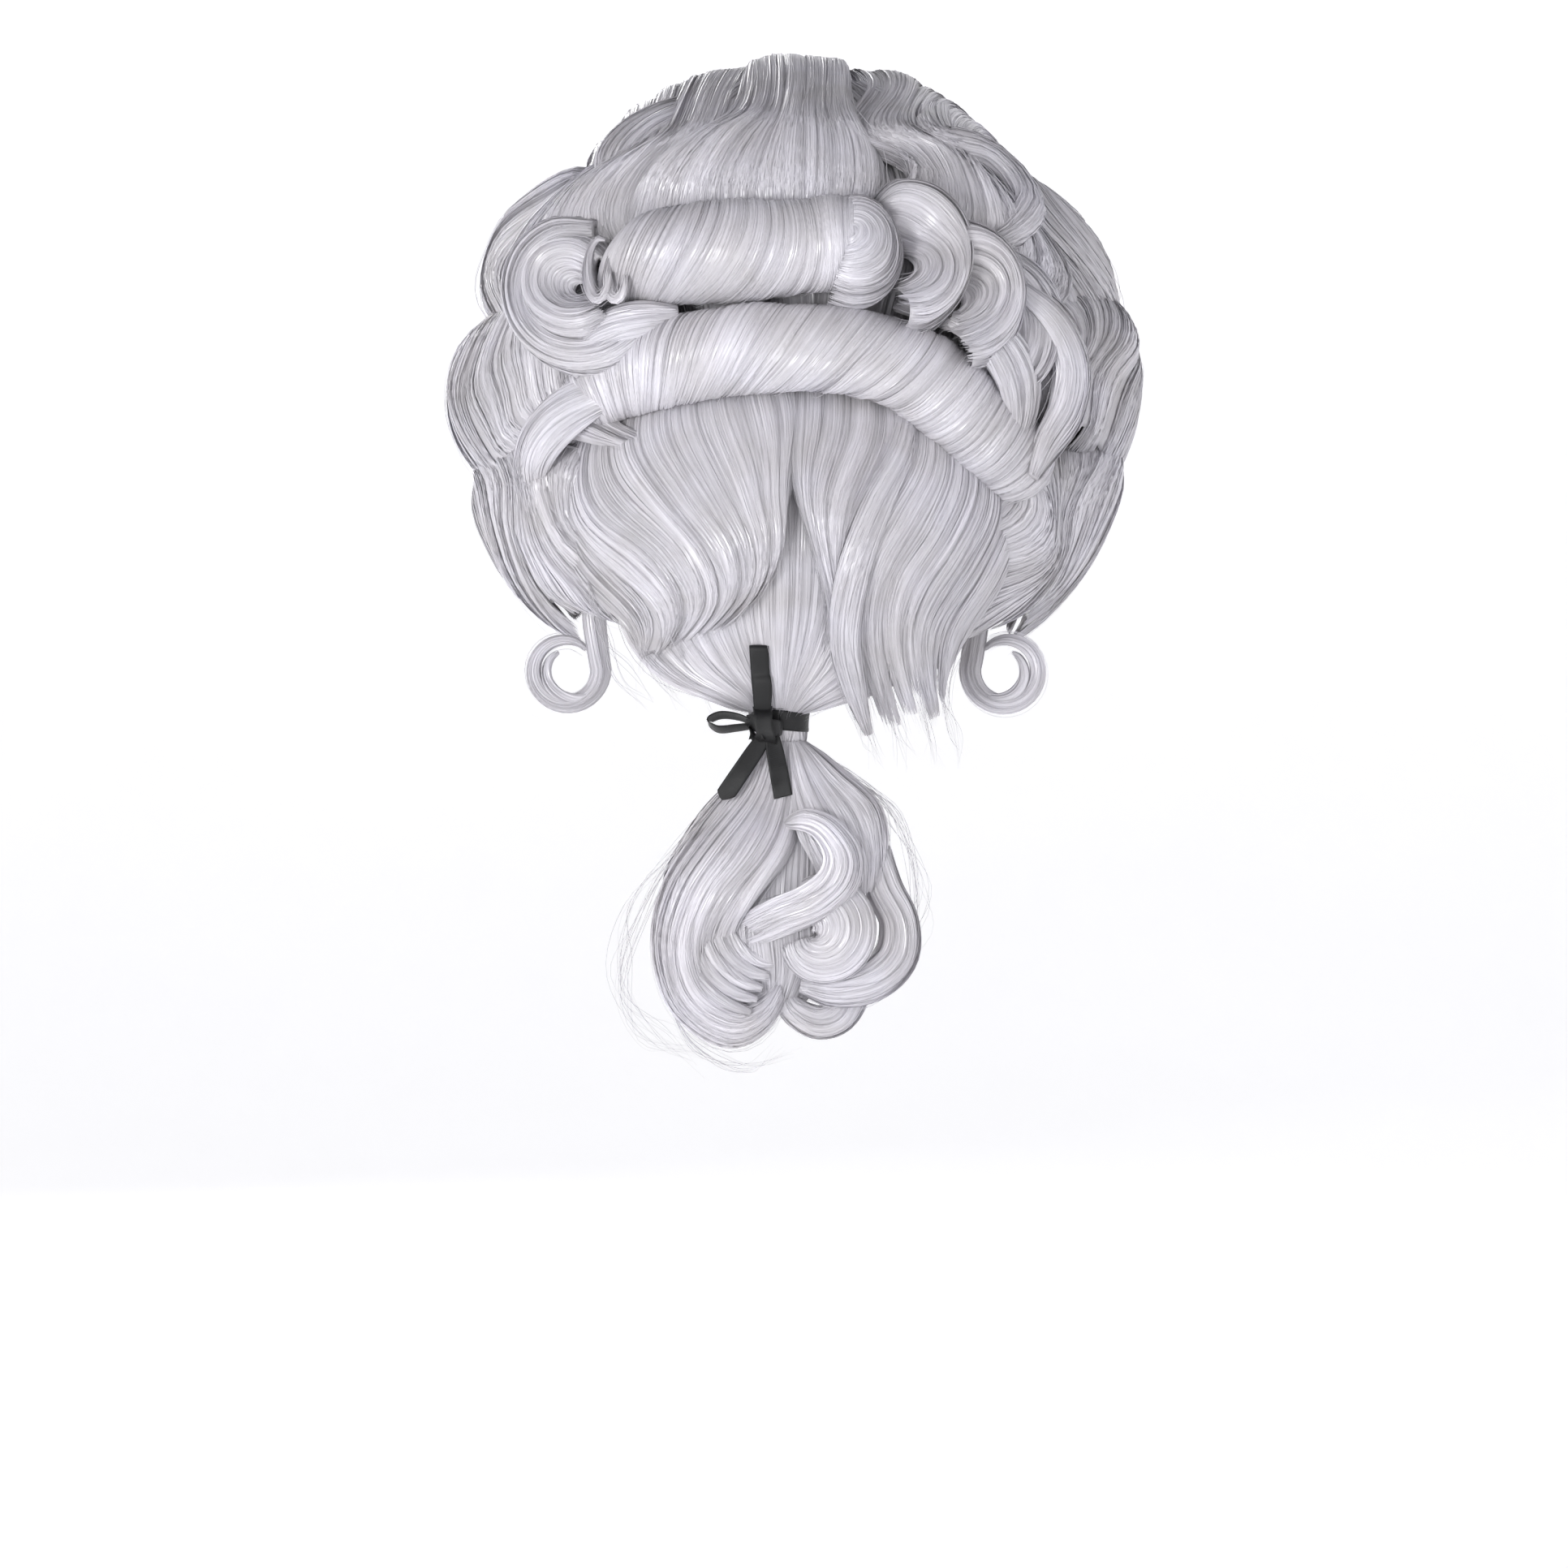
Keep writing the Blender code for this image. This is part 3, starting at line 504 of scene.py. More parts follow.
    def flat_strands(self, ground, count, width, run):
        """Flat strands under a millimetre wide that lie like combed hair, each turned a little."""
        place, out, side, shade, taper = self.lines(ground, count, run, 0.0)
        steps = run[2]
        rng = self.rng
        half = 0.5 * width * rng.uniform(0.6, 1.4, (count, 1)) * taper
        turn = np.radians(rng.normal(0, STRAND_TILT, (count, 1)))[..., None]
        across = (side * np.cos(turn) + out * np.sin(turn)) * half[..., None]
        points = np.stack([place - across, place + across], axis=2)
        index = np.arange(count * steps * 2).reshape(count, steps, 2)
        quads = np.stack([index[:, :-1, 0], index[:, :-1, 1], index[:, 1:, 1], index[:, 1:, 0]], axis=-1)
        self.add(points, np.repeat(shade[..., None], 2, axis=2), [quads.reshape(-1, 4)], 1)

    def threads(self, ground, count, width, run, flare):
        """Single stray hairs, as three-sided closed tubes."""
        place, out, side, shade, taper = self.lines(ground, count, run, flare)
        self.tubes(place, out, side, shade, taper, width)

    def wisps(self, knots, count, spread, width=0.22, steps=26):
        """Long loose hairs along a path, each of them wandering from it more and more."""
        knots = np.array(knots, float)
        reach = np.linspace(0.15, 1, len(knots))[:, None] * spread
        paths = [knots + self.rng.normal(0, 1, knots.shape) * reach for _ in range(count)]
        place = np.stack([spline(path, np.linspace(0, 1, steps)) for path in paths])
        along = unit(np.gradient(place, axis=1))
        side = unit(np.cross(along, np.array([0.1, 1.0, 0.05])))
        out = np.cross(side, along)
        taper = 1 - 0.8 * np.linspace(0, 1, steps)[None, :] ** 3 * np.ones((count, 1))
        self.tubes(place, out, side, np.full((count, steps), 0.95), taper, width)

    def tubes(self, place, out, side, shade, taper, width):
        """Thin three-sided closed tubes along their points."""
        count, steps = place.shape[:2]
        radius = (0.5 * width * self.rng.uniform(0.6, 1.4, (count, 1)) * taper)[..., None]
        ring = []
        for corner in range(3):
            angle = math.pi / 2 + corner * 2 * math.pi / 3
            ring.append(place + radius * (math.cos(angle) * side + math.sin(angle) * out))
        points = np.stack(ring, axis=2)
        index = np.arange(count * steps * 3).reshape(count, steps, 3)
        turned = np.roll(index, -1, axis=2)
        quads = np.stack([index[:, :-1], index[:, 1:], turned[:, 1:], turned[:, :-1]], axis=-1).reshape(-1, 4)
        caps = np.concatenate([index[:, 0], index[:, -1, ::-1]])
        self.add(points, np.repeat(shade[..., None], 3, axis=2), [quads, caps], 1)

    def finish(self, body, *replaced):
        mesh = bpy.data.meshes.new(self.name)
        points = np.concatenate(self.points).astype(np.float32) * MM
        loops = np.concatenate(self.loops).astype(np.int32)
        sizes = np.concatenate(self.sizes)
        mesh.vertices.add(len(points))
        mesh.vertices.foreach_set("co", points.reshape(-1))
        mesh.loops.add(len(loops))
        mesh.loops.foreach_set("vertex_index", loops)
        mesh.polygons.add(len(sizes))
        mesh.polygons.foreach_set("loop_start", np.concatenate([[0], np.cumsum(sizes)[:-1]]).astype(np.int32))
        mesh.polygons.foreach_set("material_index", np.concatenate(self.slots))
        mesh.polygons.foreach_set("use_smooth", np.ones(len(sizes), bool))
        mesh.update(calc_edges=True)
        mesh.validate()
        tone = mesh.attributes.new("tone", "FLOAT", "POINT")
        tone.data.foreach_set("value", np.concatenate(self.tones).astype(np.float32))
        mesh.materials.append(HAIR_SHELL_PAINTED_SHADE)
        mesh.materials.append(HAIR_STRAND)
        obj = bpy.data.objects.new(self.name, mesh)
        bpy.context.scene.collection.objects.link(obj)
        if body:
            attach(obj, body)
        if replaced:
            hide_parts(*replaced)
        return obj


# ---------------------------------------------------------------- materials


def new_material(name):
    made = bpy.data.materials.new(name)
    made.use_nodes = True
    tree = made.node_tree
    return made, tree, tree.nodes["Principled BSDF"]


def add(tree, kind, **settings):
    node = tree.nodes.new(kind)
    for key, value in settings.items():
        setattr(node, key, value)
    return node


def noise(tree, scale, detail):
    """Noise in the object's own coordinates, which are the part's frame in metres."""
    where = add(tree, "ShaderNodeTexCoord")
    mapping = add(tree, "ShaderNodeMapping")
    made = add(tree, "ShaderNodeTexNoise")
    made.inputs["Scale"].default_value = scale
    made.inputs["Detail"].default_value = detail
    tree.links.new(where.outputs["Object"], mapping.inputs["Vector"])
    tree.links.new(mapping.outputs[0], made.inputs["Vector"])
    return made


def ramp(tree, source, stops):
    made = add(tree, "ShaderNodeValToRGB")
    elements = made.color_ramp.elements
    while len(elements) < len(stops):
        elements.new(0.5)
    for element, (place, colour) in zip(elements, stops):
        element.position = place
        element.color = (*colour, 1)
    tree.links.new(source, made.inputs["Fac"])
    return made


def hair_material(name, colour, shade_colour, roughness):
    """White fibre: each point's value scales it, a random lightness of each strand with painted shade in
    grooves and near roots and a painted lightness of the piece; a slow noise mottles it between a white and a
    shade colour, as painted broad highlights and shade.
    """
    made, tree, shader = new_material(name)
    slow = noise(tree, 38, 3)
    painted_light_mottle = ramp(tree, slow.outputs["Fac"], ((0.3, shade_colour), (0.7, colour)))
    tone = add(tree, "ShaderNodeAttribute", attribute_name="tone")
    darken = add(tree, "ShaderNodeVectorMath", operation="SCALE")
    tree.links.new(painted_light_mottle.outputs["Color"], darken.inputs[0])
    tree.links.new(tone.outputs["Fac"], darken.inputs["Scale"])
    tree.links.new(darken.outputs[0], shader.inputs["Base Color"])
    shader.inputs["Roughness"].default_value = roughness
    shader.inputs["Specular IOR Level"].default_value = 0.7
    shader.inputs["Sheen Weight"].default_value = 0.12
    shader.inputs["Sheen Roughness"].default_value = 0.4
    return made


HAIR_STRAND = hair_material("hair_strand", (0.755, 0.74, 0.8), (0.62, 0.6, 0.625), 0.27)
# The shell's colours are darker and warmer than the strands', as painted shade where it shows between them.
HAIR_SHELL_PAINTED_SHADE = hair_material("hair_shell_painted_shade", (0.65, 0.635, 0.68), (0.56, 0.54, 0.56), 0.42)

# ---------------------------------------------------------------- crown and front


def crown_falls():
    """The hair that is brushed back over the crown and falls to the upper roll, in three broad masses."""
    centre = Hair("crown_fall_centre", 11)
    guides = [
        trail(over, (10, -17, 0.6), (10, -6, 0.88), (10, 7, 0.91))
        + trail(behind, (30, 128, 1), (45, 115, 5), (60, 101, 6), (73, 87, -5)),
        trail(over, (6, -17, 0.65), (6, -6, 0.91), (6, 7, 0.95))
        + trail(behind, (18, 129, 2), (30, 115, 8), (42, 100, 5), (51, 86, -8)),
        trail(over, (2, -17, 0.65), (2.3, -6, 0.93), (2.5, 7, 0.97))
        + trail(behind, (7, 130, 1), (13, 115, 5), (20, 99, 4), (24, 84, -9)),
        trail(over, (-1, -17, 0.65), (-1.2, -6, 0.92), (-1.2, 7, 0.96))
        + trail(behind, (-3, 129, 3), (-2, 115, 7), (0, 99, 4), (3, 84, -10)),
        trail(over, (-5, -17, 0.65), (-6, -6, 0.91), (-6, 7, 0.95))
        + trail(behind, (-15, 128, 2), (-17, 115, 4), (-15, 98, 2), (-10, 84, -10)),
        trail(over, (-10, -17, 0.6), (-10, -6, 0.88), (-10, 7, 0.91))
        + trail(behind, (-28, 127, 0), (-36, 115, -1), (-36, 99, -4), (-26, 84, -12)),
    ]
    centre.lay(guides, strands=1500, locks=9, depth=1.9, drift=0.8, ends=(0.03, 0.04), fly=30,
               root_dark=0.2, stop=0.97)
    centre.finish("root", "crown_pouf", "crown_wave_centre")

    right = Hair("crown_fall_right", 12)
    guides = [
        trail(over, (-4, -15, 0.5), (-4, -5, 0.84), (-4, 6, 0.87))
        + trail(behind, (-17, 126, -3), (-31, 116, 0), (-46, 104, 5), (-43, 93, 1), (-40, 82, -8)),
        trail(over, (-17, -15, 0.6), (-17, -5, 0.9), (-16, 6, 0.93))
        + trail(behind, (-42, 122, 3), (-56, 111, 6), (-63, 98, 4), (-62, 86, 2), (-58, 74, -8)),
        trail(over, (-29, -15, 0.55), (-29, -5, 0.86), (-24, 6, 0.9))
        + trail(behind, (-54, 117, 1), (-69, 105, 5), (-78, 90, 7), (-81, 76, 3), (-77, 62, -7)),
        trail(over, (-38, -15, 0.5), (-38, -5, 0.82), (-33, 6, 0.84))
        + trail(behind, (-69, 110, -1), (-83, 96, 2), (-93, 80, 4), (-98, 65, 4), (-93, 51, -6)),
        trail(over, (-46, -15, 0.4), (-46, -5, 0.74), (-42, 6, 0.78))
        + trail(behind, (-80, 104, -6), (-95, 90, -3), (-106, 74, 0), (-111, 58, 1), (-106, 44, -6)),
    ]
    right.lay(guides, strands=1500, locks=8, depth=3.0, drift=0.5, ends=(0.03, 0.07), fly=24, cuts=0.03,
              root_dark=0.2)
    loose = (
        trail(over, (-26, 4, 0.9))
        + trail(behind, (-56, 118, 3), (-74, 112, 3), (-86, 103, 3), (-92, 90, 5), (-86, 78, 7),
                (-76, 72, 5))
    )
    right.tuft(loose, (3, 5, 7, 8, 8, 6, 3), 0.4, strands=340, locks=4, fly=12)
    right.finish("root", "crown_wave_right")

    left = Hair("crown_fall_left", 13)
    guides = [
        trail(over, (47, -15, 0.5), (47, -5, 0.76), (45, 7, 0.8))
        + trail(behind, (94, 99, -5), (104, 84, -2), (111, 68, 1), (114, 52, 1), (110, 38, -6)),
        trail(over, (35, -15, 0.5), (35, -5, 0.8), (33, 7, 0.84))
        + trail(behind, (76, 112, -3), (88, 97, 3), (96, 82, 5), (100, 67, 2), (97, 53, -7)),
        trail(over, (25, -15, 0.55), (25, -5, 0.84), (23, 7, 0.88))
        + trail(behind, (55, 121, -2), (68, 107, 3), (80, 95, 3), (86, 82, 0), (83, 70, -8)),
        trail(over, (16, -15, 0.55), (16, -5, 0.88), (15, 7, 0.92))
        + trail(behind, (38, 126, 0), (51, 113, -1), (62, 101, -2), (70, 90, -5), (70, 80, -10)),
        trail(over, (4, -15, 0.5), (4, -5, 0.83), (4, 7, 0.86))
        + trail(behind, (16, 126, -4), (34, 112, -6), (56, 100, -5), (66, 89, -8), (67, 80, -12)),
    ]
    left.lay(guides, strands=1200, locks=7, depth=2.2, drift=0.5, ends=(0.03, 0.07), fly=20, cuts=0.03,
             root_dark=0.2)
    lobe = trails(
        seen,
        ((34, 138, 22), (52, 135, 38), (68, 128, 46), (79, 119, 54), (83, 109, 62), (79, 99, 72),
         (69, 93, 80)),
        ((33, 135, 42), (48, 131, 56), (61, 125, 64), (71, 116, 71), (74, 107, 77), (70, 100, 83),
         (62, 96, 85)),
        ((33, 130, 60), (46, 126, 71), (56, 120, 78), (63, 112, 83), (65, 106, 86), (61, 101, 88),
         (55, 98, 86)),
    )
    left.lay(lobe, strands=560, locks=5, depth=1.4, fly=10, curl=3, tuck=2, ends=(0.05, 0.2))
    left.finish("root", "crown_wave_left")


def front_pouf():
    """The hair combed up from the hairline and back over the forehead."""
    guides = []
    for sideways in (46, 34, 22, 11, 0, -11, -22, -34, -46):
        tall = 0.93 - 0.17 * (sideways / 46) ** 2
        guides.append(trail(over, (sideways, -62, 0.06), (sideways, -59, tall * 0.62),
                            (sideways, -51, tall), (sideways, -38, tall * 1.05),
                            (sideways, -25, tall * 1.03), (sideways, -14, tall * 0.97),
                            (sideways * 0.97, -7, 0.55)))
    hair = Hair("front_pouf_hair", 14)
    hair.lay(guides, 181, strands=1900, locks=14, depth=2.4, drift=0.6, ends=(0.01, 0.08), fly=30, steps=22,
             tuck=0)
    hair.finish("root", "front_pouf")


# ---------------------------------------------------------------- sides


def side_waves():
    """The waved hair over each ear: three soft tiers, one below another, and the temple hair before them."""
    for side, sign, seed in (("left", 1, 21), ("right", -1, 31)):
        tiers = (
            ("upper", -47, 60, (41, 45, 52, 60, 68, 75, 80), (0.4, 0.76, 0.88, 0.94, 0.95, 0.89, 0.68), 2.2,
             0),
            ("middle", -50, 70, (62, 68, 76, 84, 91, 98, 102), (0.2, 0.56, 0.88, 0.98, 0.98, 0.9, 0.68),
             2.4, 1),
            ("lower", -30, 58, (86, 92, 100, 108, 116, 124, 129), (0.2, 0.5, 0.82, 0.93, 0.93, 0.8, 0.55),
             2.4, 2),
        )
        for name, front, back, polars, shares, depth, number in tiers:
            guides = []
            for k, azimuth in enumerate(np.linspace(front, back, 13)):
                line = []
                for j, (polar, share) in enumerate(zip(polars, shares)):
                    lean = 12 * (j / 6 - 0.5) + 4.5 * math.sin(j * 1.6 + k * 0.8 + number * 1.7)
                    wave = 3.2 * math.sin(k * 0.95 + number * 2.1 + (1.3 if sign < 0 else 0))
                    bulge = 0.05 * math.sin(k * 1.7 + j * 0.9 + number + sign)
                    inset = 0.1 * np.clip((azimuth - 46) / 18, 0, 1)
                    full = share + bulge * min(j, 6 - j) / 3 + (0.02 if sign < 0 else 0) - inset
                    line.append(around(90 - sign * (90 - azimuth - lean), polar + wave, full))
                guides.append(line)
            if sign < 0:
                guides = guides[::-1]
            hair = Hair(f"side_wave_{name}_{side}_hair", seed + number)
            hair.lay(guides, 161, strands=1350, locks=8, depth=depth, drift=0.9, ends=(0.03, 0.06), fly=26,
                     cuts=0.03, steps=20, root_dark=0.25, clump=0.3, stop=0.89)
            hair.finish("root", f"side_wave_{name}_{side}")
        guides = []
        for k, polar in enumerate((40, 49, 58, 67, 76, 85, 91)):
            line = []
            for j, (azimuth, share) in enumerate(((-66, 0.1), (-64, 0.45), (-59, 0.74), (-52, 0.86),
                                                  (-44, 0.93), (-36, 0.95), (-28, 0.9), (-20, 0.7))):
                sweep = polar + (azimuth + 64) * (0.28 - 0.03 * k) + 2.5 * math.sin(j * 1.1 + k * 0.7)
                line.append(around(90 - sign * (90 - azimuth), sweep, share * (1 if 0 < k < 6 else 0.8)))
            guides.append(line)
        if sign < 0:
            guides = guides[::-1]
        hair = Hair(f"temple_wave_{side}_hair", seed + 5)
        hair.lay(guides, strands=900, locks=7, depth=2.0, drift=0.5, fly=18, steps=20, tuck=0, clump=0.8,
                 cuts=0.08, ends=(0.02, 0.12), curl=6, stop=0.84)
        hair.finish("root", f"temple_wave_{side}")


def under_hair():
    """The flat hair under everything, which closes the gaps between the masses."""
    guides = []
    for azimuth in np.linspace(-50, 230, 25):
        off_back = abs(azimuth - 90)
        low = np.interp(off_back, (0, 60, 80, 100, 125, 140), (116, 112, 100, 94, 84, 72))
        high = np.interp(off_back, (0, 50, 75, 140), (0.86, 0.84, 0.6, 0.4))
        line = []
        for polar in np.linspace(20, low, 11):
            below = np.interp(off_back, (36, 48), (0.16, 0.66))
            line.append(around(azimuth, polar,
                               np.interp(polar, (60, 72, 80, 96), (high, 0.62, below, below * 0.7))))
        guides.append(line)
    hair = Hair("back_under_hair_layer", 41)
    # The under hair is painted darker than the hair over it, as painted shade in the gaps.
    hair.lay(guides[::-1], 241, strands=1000, width=1.5, locks=30, depth=1.4, tone=0.82, ends=(0.02, 0.05),
             steps=20, tuck=0, curl=0)
    hair.finish("root", "back_under_hair")


# ---------------------------------------------------------------- rolls


def rolls():
    """The two rolls across the back, and the locks that step down past the right end of the upper one."""
    middle = centre_of("upper_roll")[2] + 2.5
    upper = Hair("upper_roll_hair", 51)
    axis = trail(rim, (38, middle - 4), (22, middle - 1.5), (5, middle), (-6, middle + 2),
                 (-16, middle + 3))
    upper.groom(roll(axis, (14, 18.5, 19.5, 17.5, 18, 15), 118, -245, slant=-0.2), strands=1500, locks=9,
                depth=1.0, drift=0.6, ends=(0.04, 0.05), fly=14, root_dark=0.35, tuck=0)
    upper.lay(coil((-20, 72), (2, 6, 11, 17, 23), (18.5, 18.5, 17, 12, 0), 75, 215, drop=3), strands=360,
              locks=5, depth=1.0, tuck=0, curl=0, fly=4)
    upper.finish("root", "upper_roll")

    lower = Hair("lower_roll_hair", 52)
    axis = trail(seen, (96, 0, 80), (74, 19, 100), (43, 29, 118), (10, 33, 126), (-23, 32, 124),
                 (-50, 22, 114), (-70, 5, 102), (-86, -12, 89), (-96, -27, 76))
    lower.groom(roll(axis, (10, 15, 17, 16.5, 16, 17, 18, 17, 11), 112, -235, slant=-0.07), strands=2100,
                locks=14, depth=1.3, drift=0.6, ends=(0.04, 0.08), fly=20, root_dark=0.5, tuck=0)
    lower.finish("root", "lower_roll")

    loose = trail(behind, (-86, 60, 4), (-100, 44, 7), (-108, 26, 6), (-107, 8, 4), (-99, -6, 4),
                  (-93, -18, 5))
    inner = trail(behind, (-64, 46, -2), (-78, 37, 3), (-88, 23, 3), (-91, 8, 1), (-88, -6, 1))
    steps = (
        ("stepped_curl_right_upper_hair", 53, "stepped_curl_right_upper",
         (((-41, 69), (6, 10, 15, 20, 25, 29), (-8, 0, 9, 14, 10, -3), 62, 215),), ()),
        ("stepped_curl_right_lower_hair", 54, "stepped_curl_right_lower",
         (((-60, 52), (5, 10, 16, 22, 27, 32), (-7, 0, 8, 12, 7, -6), 70, 190),
          ((-75, 42), (6, 12, 18, 24, 30, 36), (-6, -1, 4, 7, 3, -8), 66, 180)),
         ((loose, (3, 6, 8, 9, 7, 3), 0.5), (inner, (3, 8, 10, 8, 3), 0.45))),
    )
    for name, seed, node, coils, tufts in steps:
        hair = Hair(name, seed)
        for centre, radii, lifts, start, turn in coils:
            hair.lay(coil(centre, radii, lifts, start, turn, squash=1.05), strands=640, locks=6, depth=2.8,
                     fly=16, steps=26, curl=3, tuck=3, ends=(0.03, 0.3), root_dark=0.2, cuts=0.08,
                     drift=0.7)
        for knots, radii, flat in tufts:
            hair.tuft(knots, radii, flat, strands=420, locks=5, fly=10)
        hair.finish("root", node)

    swirl = Hair("swirl_curl_left_hair", 55)
    wide = coil((83, 55), (15, 20, 25, 30, 34), (0, 6, 9, 7, -4), 95, -238)
    swirl.lay(wide, strands=600, locks=6, depth=2.0, fly=8, steps=26, curl=1, ends=(0.03, 0.14), tuck=1)
    tight = coil((85, 56), (3, 7, 11, 16, 20), (0, 7, 12, 13, 6), 130, -270)
    swirl.lay(tight, strands=560, locks=6, depth=1.6, fly=8, steps=28, curl=1, ends=(0.03, 0.14), tuck=1)
    for fill, radii in (
        (trail(behind, (90, 24, 1), (80, 34, 4), (66, 43, 3), (48, 47, -2)), (3, 7, 7, 4)),
        (trail(behind, (70, 20, -8), (85, 14, -3), (99, 3, -2), (109, -12, -3), (113, -30, -8)),
         (5, 8, 9, 8, 3)),
    ):
        swirl.tuft(fill, radii, 0.5, strands=360, locks=5, fly=10, ends=(0.02, 0.25))
    for middle, tall in (((74, 62), 12.0), ((67, 60), 10.0)):
        small = [behind(middle[0] + tall * 0.4 * math.cos(a), middle[1] + tall * math.sin(a), 9 + k * 0.5)
                 for k, a in enumerate(np.linspace(1.9, -3.0, 9))]
        swirl.tuft(small, (0.4, 1.0, 1.6, 1.3, 0.4), 0.4, strands=60, locks=3, depth=0.3, fly=3)
    swirl.finish("root", "swirl_curl_left")


# ---------------------------------------------------------------- nape


def nape_hair():
    """The hair below the rolls: a smooth layer gathered to the tie, with waved locks lying over it."""
    knot_z = TIE[2]
    fan = trails(
        nape,
        ((76, 10, -14), (74, -50, -12), (70, -80, -8), (56, -99, -3), (34, -110, -2), (16, -115, -8)),
        ((55, 16, -12), (54, -46, -9), (51, -76, -6), (40, -96, -2), (24, -108, -1), (14, -115, -5)),
        ((34, 22, -9), (33, -44, -7), (31, -74, -7), (23, -94, -3), (15, -107, -1), (11, -115, -3)),
        ((7, 24, -8), (8, -40, -6), (8, -72, -7), (8, -92, -4), (7, -106, -1), (7, -115, -2.5)),
        ((-17, 22, -9), (-16, -44, -7), (-14, -74, -7), (-8, -94, -3), (-1, -107, -1), (3, -115, -3)),
        ((-42, 16, -12), (-40, -46, -9), (-36, -78, -6), (-22, -97, -2), (-7, -109, -1), (0, -115, -5)),
        ((-66, 4, -14), (-64, -50, -12), (-58, -84, -8), (-40, -103, -2), (-15, -112, -2), (-2, -115, -8)),
    )
    left = Hair("nape_sweep_left_hair", 61)
    left.lay(fan[:4], strands=1200, locks=10, depth=1.0, drift=0.4, ends=(0.02, 0.0), fly=14, curl=0,
             stop=1.0)
    locks_left = trails(
        nape,
        ((96, 6, -8), (97, -20, -2), (92, -50, 1), (84, -72, 2), (74, -88, 0), (64, -100, -6)),
        ((80, 16, -8), (86, -12, -1), (83, -34, 2), (68, -56, 4), (58, -76, 4), (62, -97, -4)),
        ((60, 24, -8), (65, -4, 0), (58, -28, 3), (46, -52, 5), (42, -72, 4), (52, -92, -6)),
        ((40, 27, -8), (42, 0, 0), (35, -28, 3), (25, -50, 5), (24, -68, 3), (38, -86, -6)),
        ((20, 28, -8), (19, 2, 0), (14, -26, 2), (9, -44, 3), (11, -58, 1), (24, -76, -6)),
        ((2, 28, -8), (0, 4, -1), (0, -20, 0), (2, -36, 0), (6, -48, -2), (14, -62, -8)),
    )
    left.lay(locks_left, strands=1800, locks=9, depth=1.5, clump=0.7, drift=0.6, ends=(0.04, 0.3), fly=40,
             cuts=0.08, root_dark=0.35)
    for x in (84, 70, 56):
        left.wisps(trail(nape, (x, -62, 2), (x - 6, -84, 1), (x - 14, -100, -2),
                         (x - 24, -113, -4)), 8, 2.5)
    left.finish("root", "nape_sweep_left")

    right = Hair("nape_sweep_right_hair", 62)
    right.lay(fan[3:], strands=1200, locks=10, depth=1.0, drift=0.4, ends=(0.02, 0.0), fly=14, curl=0,
              stop=1.0)
    locks_right = trails(
        nape,
        ((14, 28, -8), (8, 2, 0), (-1, -28, 2), (-8, -52, 2), (-12, -76, -3), (-6, -96, -8)),
        ((-7, 28, -8), (-11, 0, 0), (-9, -28, 3), (-13, -52, 3), (-18, -78, 0), (-15, -102, -6)),
        ((-26, 26, -8), (-28, -2, 0), (-21, -30, 4), (-19, -56, 4), (-22, -84, 1), (-27, -110, -3)),
        ((-45, 20, -8), (-46, -8, 0), (-36, -32, 4), (-28, -54, 5), (-26, -82, 2), (-33, -120, -2)),
        ((-62, 10, -8), (-64, -16, 0), (-55, -40, 4), (-43, -63, 5), (-41, -88, 3), (-47, -122, -2)),
        ((-78, -4, -8), (-79, -30, 0), (-68, -54, 4), (-56, -78, 4), (-55, -98, 2), (-57, -118, -3)),
        ((-92, -14, -8), (-94, -38, -1), (-87, -62, 2), (-76, -84, 1), (-66, -102, -1), (-63, -114, -4)),
    )
    right.lay(locks_right, strands=2200, locks=10, depth=1.8, drift=0.7, ends=(0.04, 0.5), fly=70,
              cuts=0.14, stop=0.8, clump=0.3, root_dark=0.35)
    for x in (-28, -40, -52, -62):
        right.wisps(trail(nape, (x, -84, 2), (x + 2, -104, 2), (x - 2, -122, 0), (x - 5, -134, -2)), 9, 2.5)
    right.finish("root", "nape_sweep_right")

    falling = Hair("falling_lock_right_hair", 63)
    path = trail(nape, (-46, 12, -4), (-43, -8, 3), (-33, -30, 6), (-24, -56, 7), (-20, -84, 6),
                 (-25, -108, 4), (-30, -124, 1))
    falling.tuft(path, (3, 4.5, 5.5, 6, 5.5, 4, 1.2), 0.42, strands=360, locks=4, fly=10, ends=(0.04, 0.2))
    falling.finish("root", "falling_lock_right")

    stem = Hair("gathered_stem_hair", 64)
    stem.tuft([(TIE[0], TIE[1], -107), (TIE[0], TIE[1], knot_z), (PIVOT[0], PIVOT[1], -129)],
              (10.5, 10.3, 10), 1.0, face=BACK, strands=420, locks=12, depth=0.7, fuzz=0.15)
    stem.finish("root", "gathered_stem")


# ---------------------------------------------------------------- queue and ringlets


def ball_of_hair(hair, top, bottom, radii, strands=360):
    hair.tuft([top, [(a + b) / 2 for a, b in zip(top, bottom)], bottom], radii, 1.0, face=BACK,
              strands=strands, locks=12, depth=0.6, fuzz=0.15)


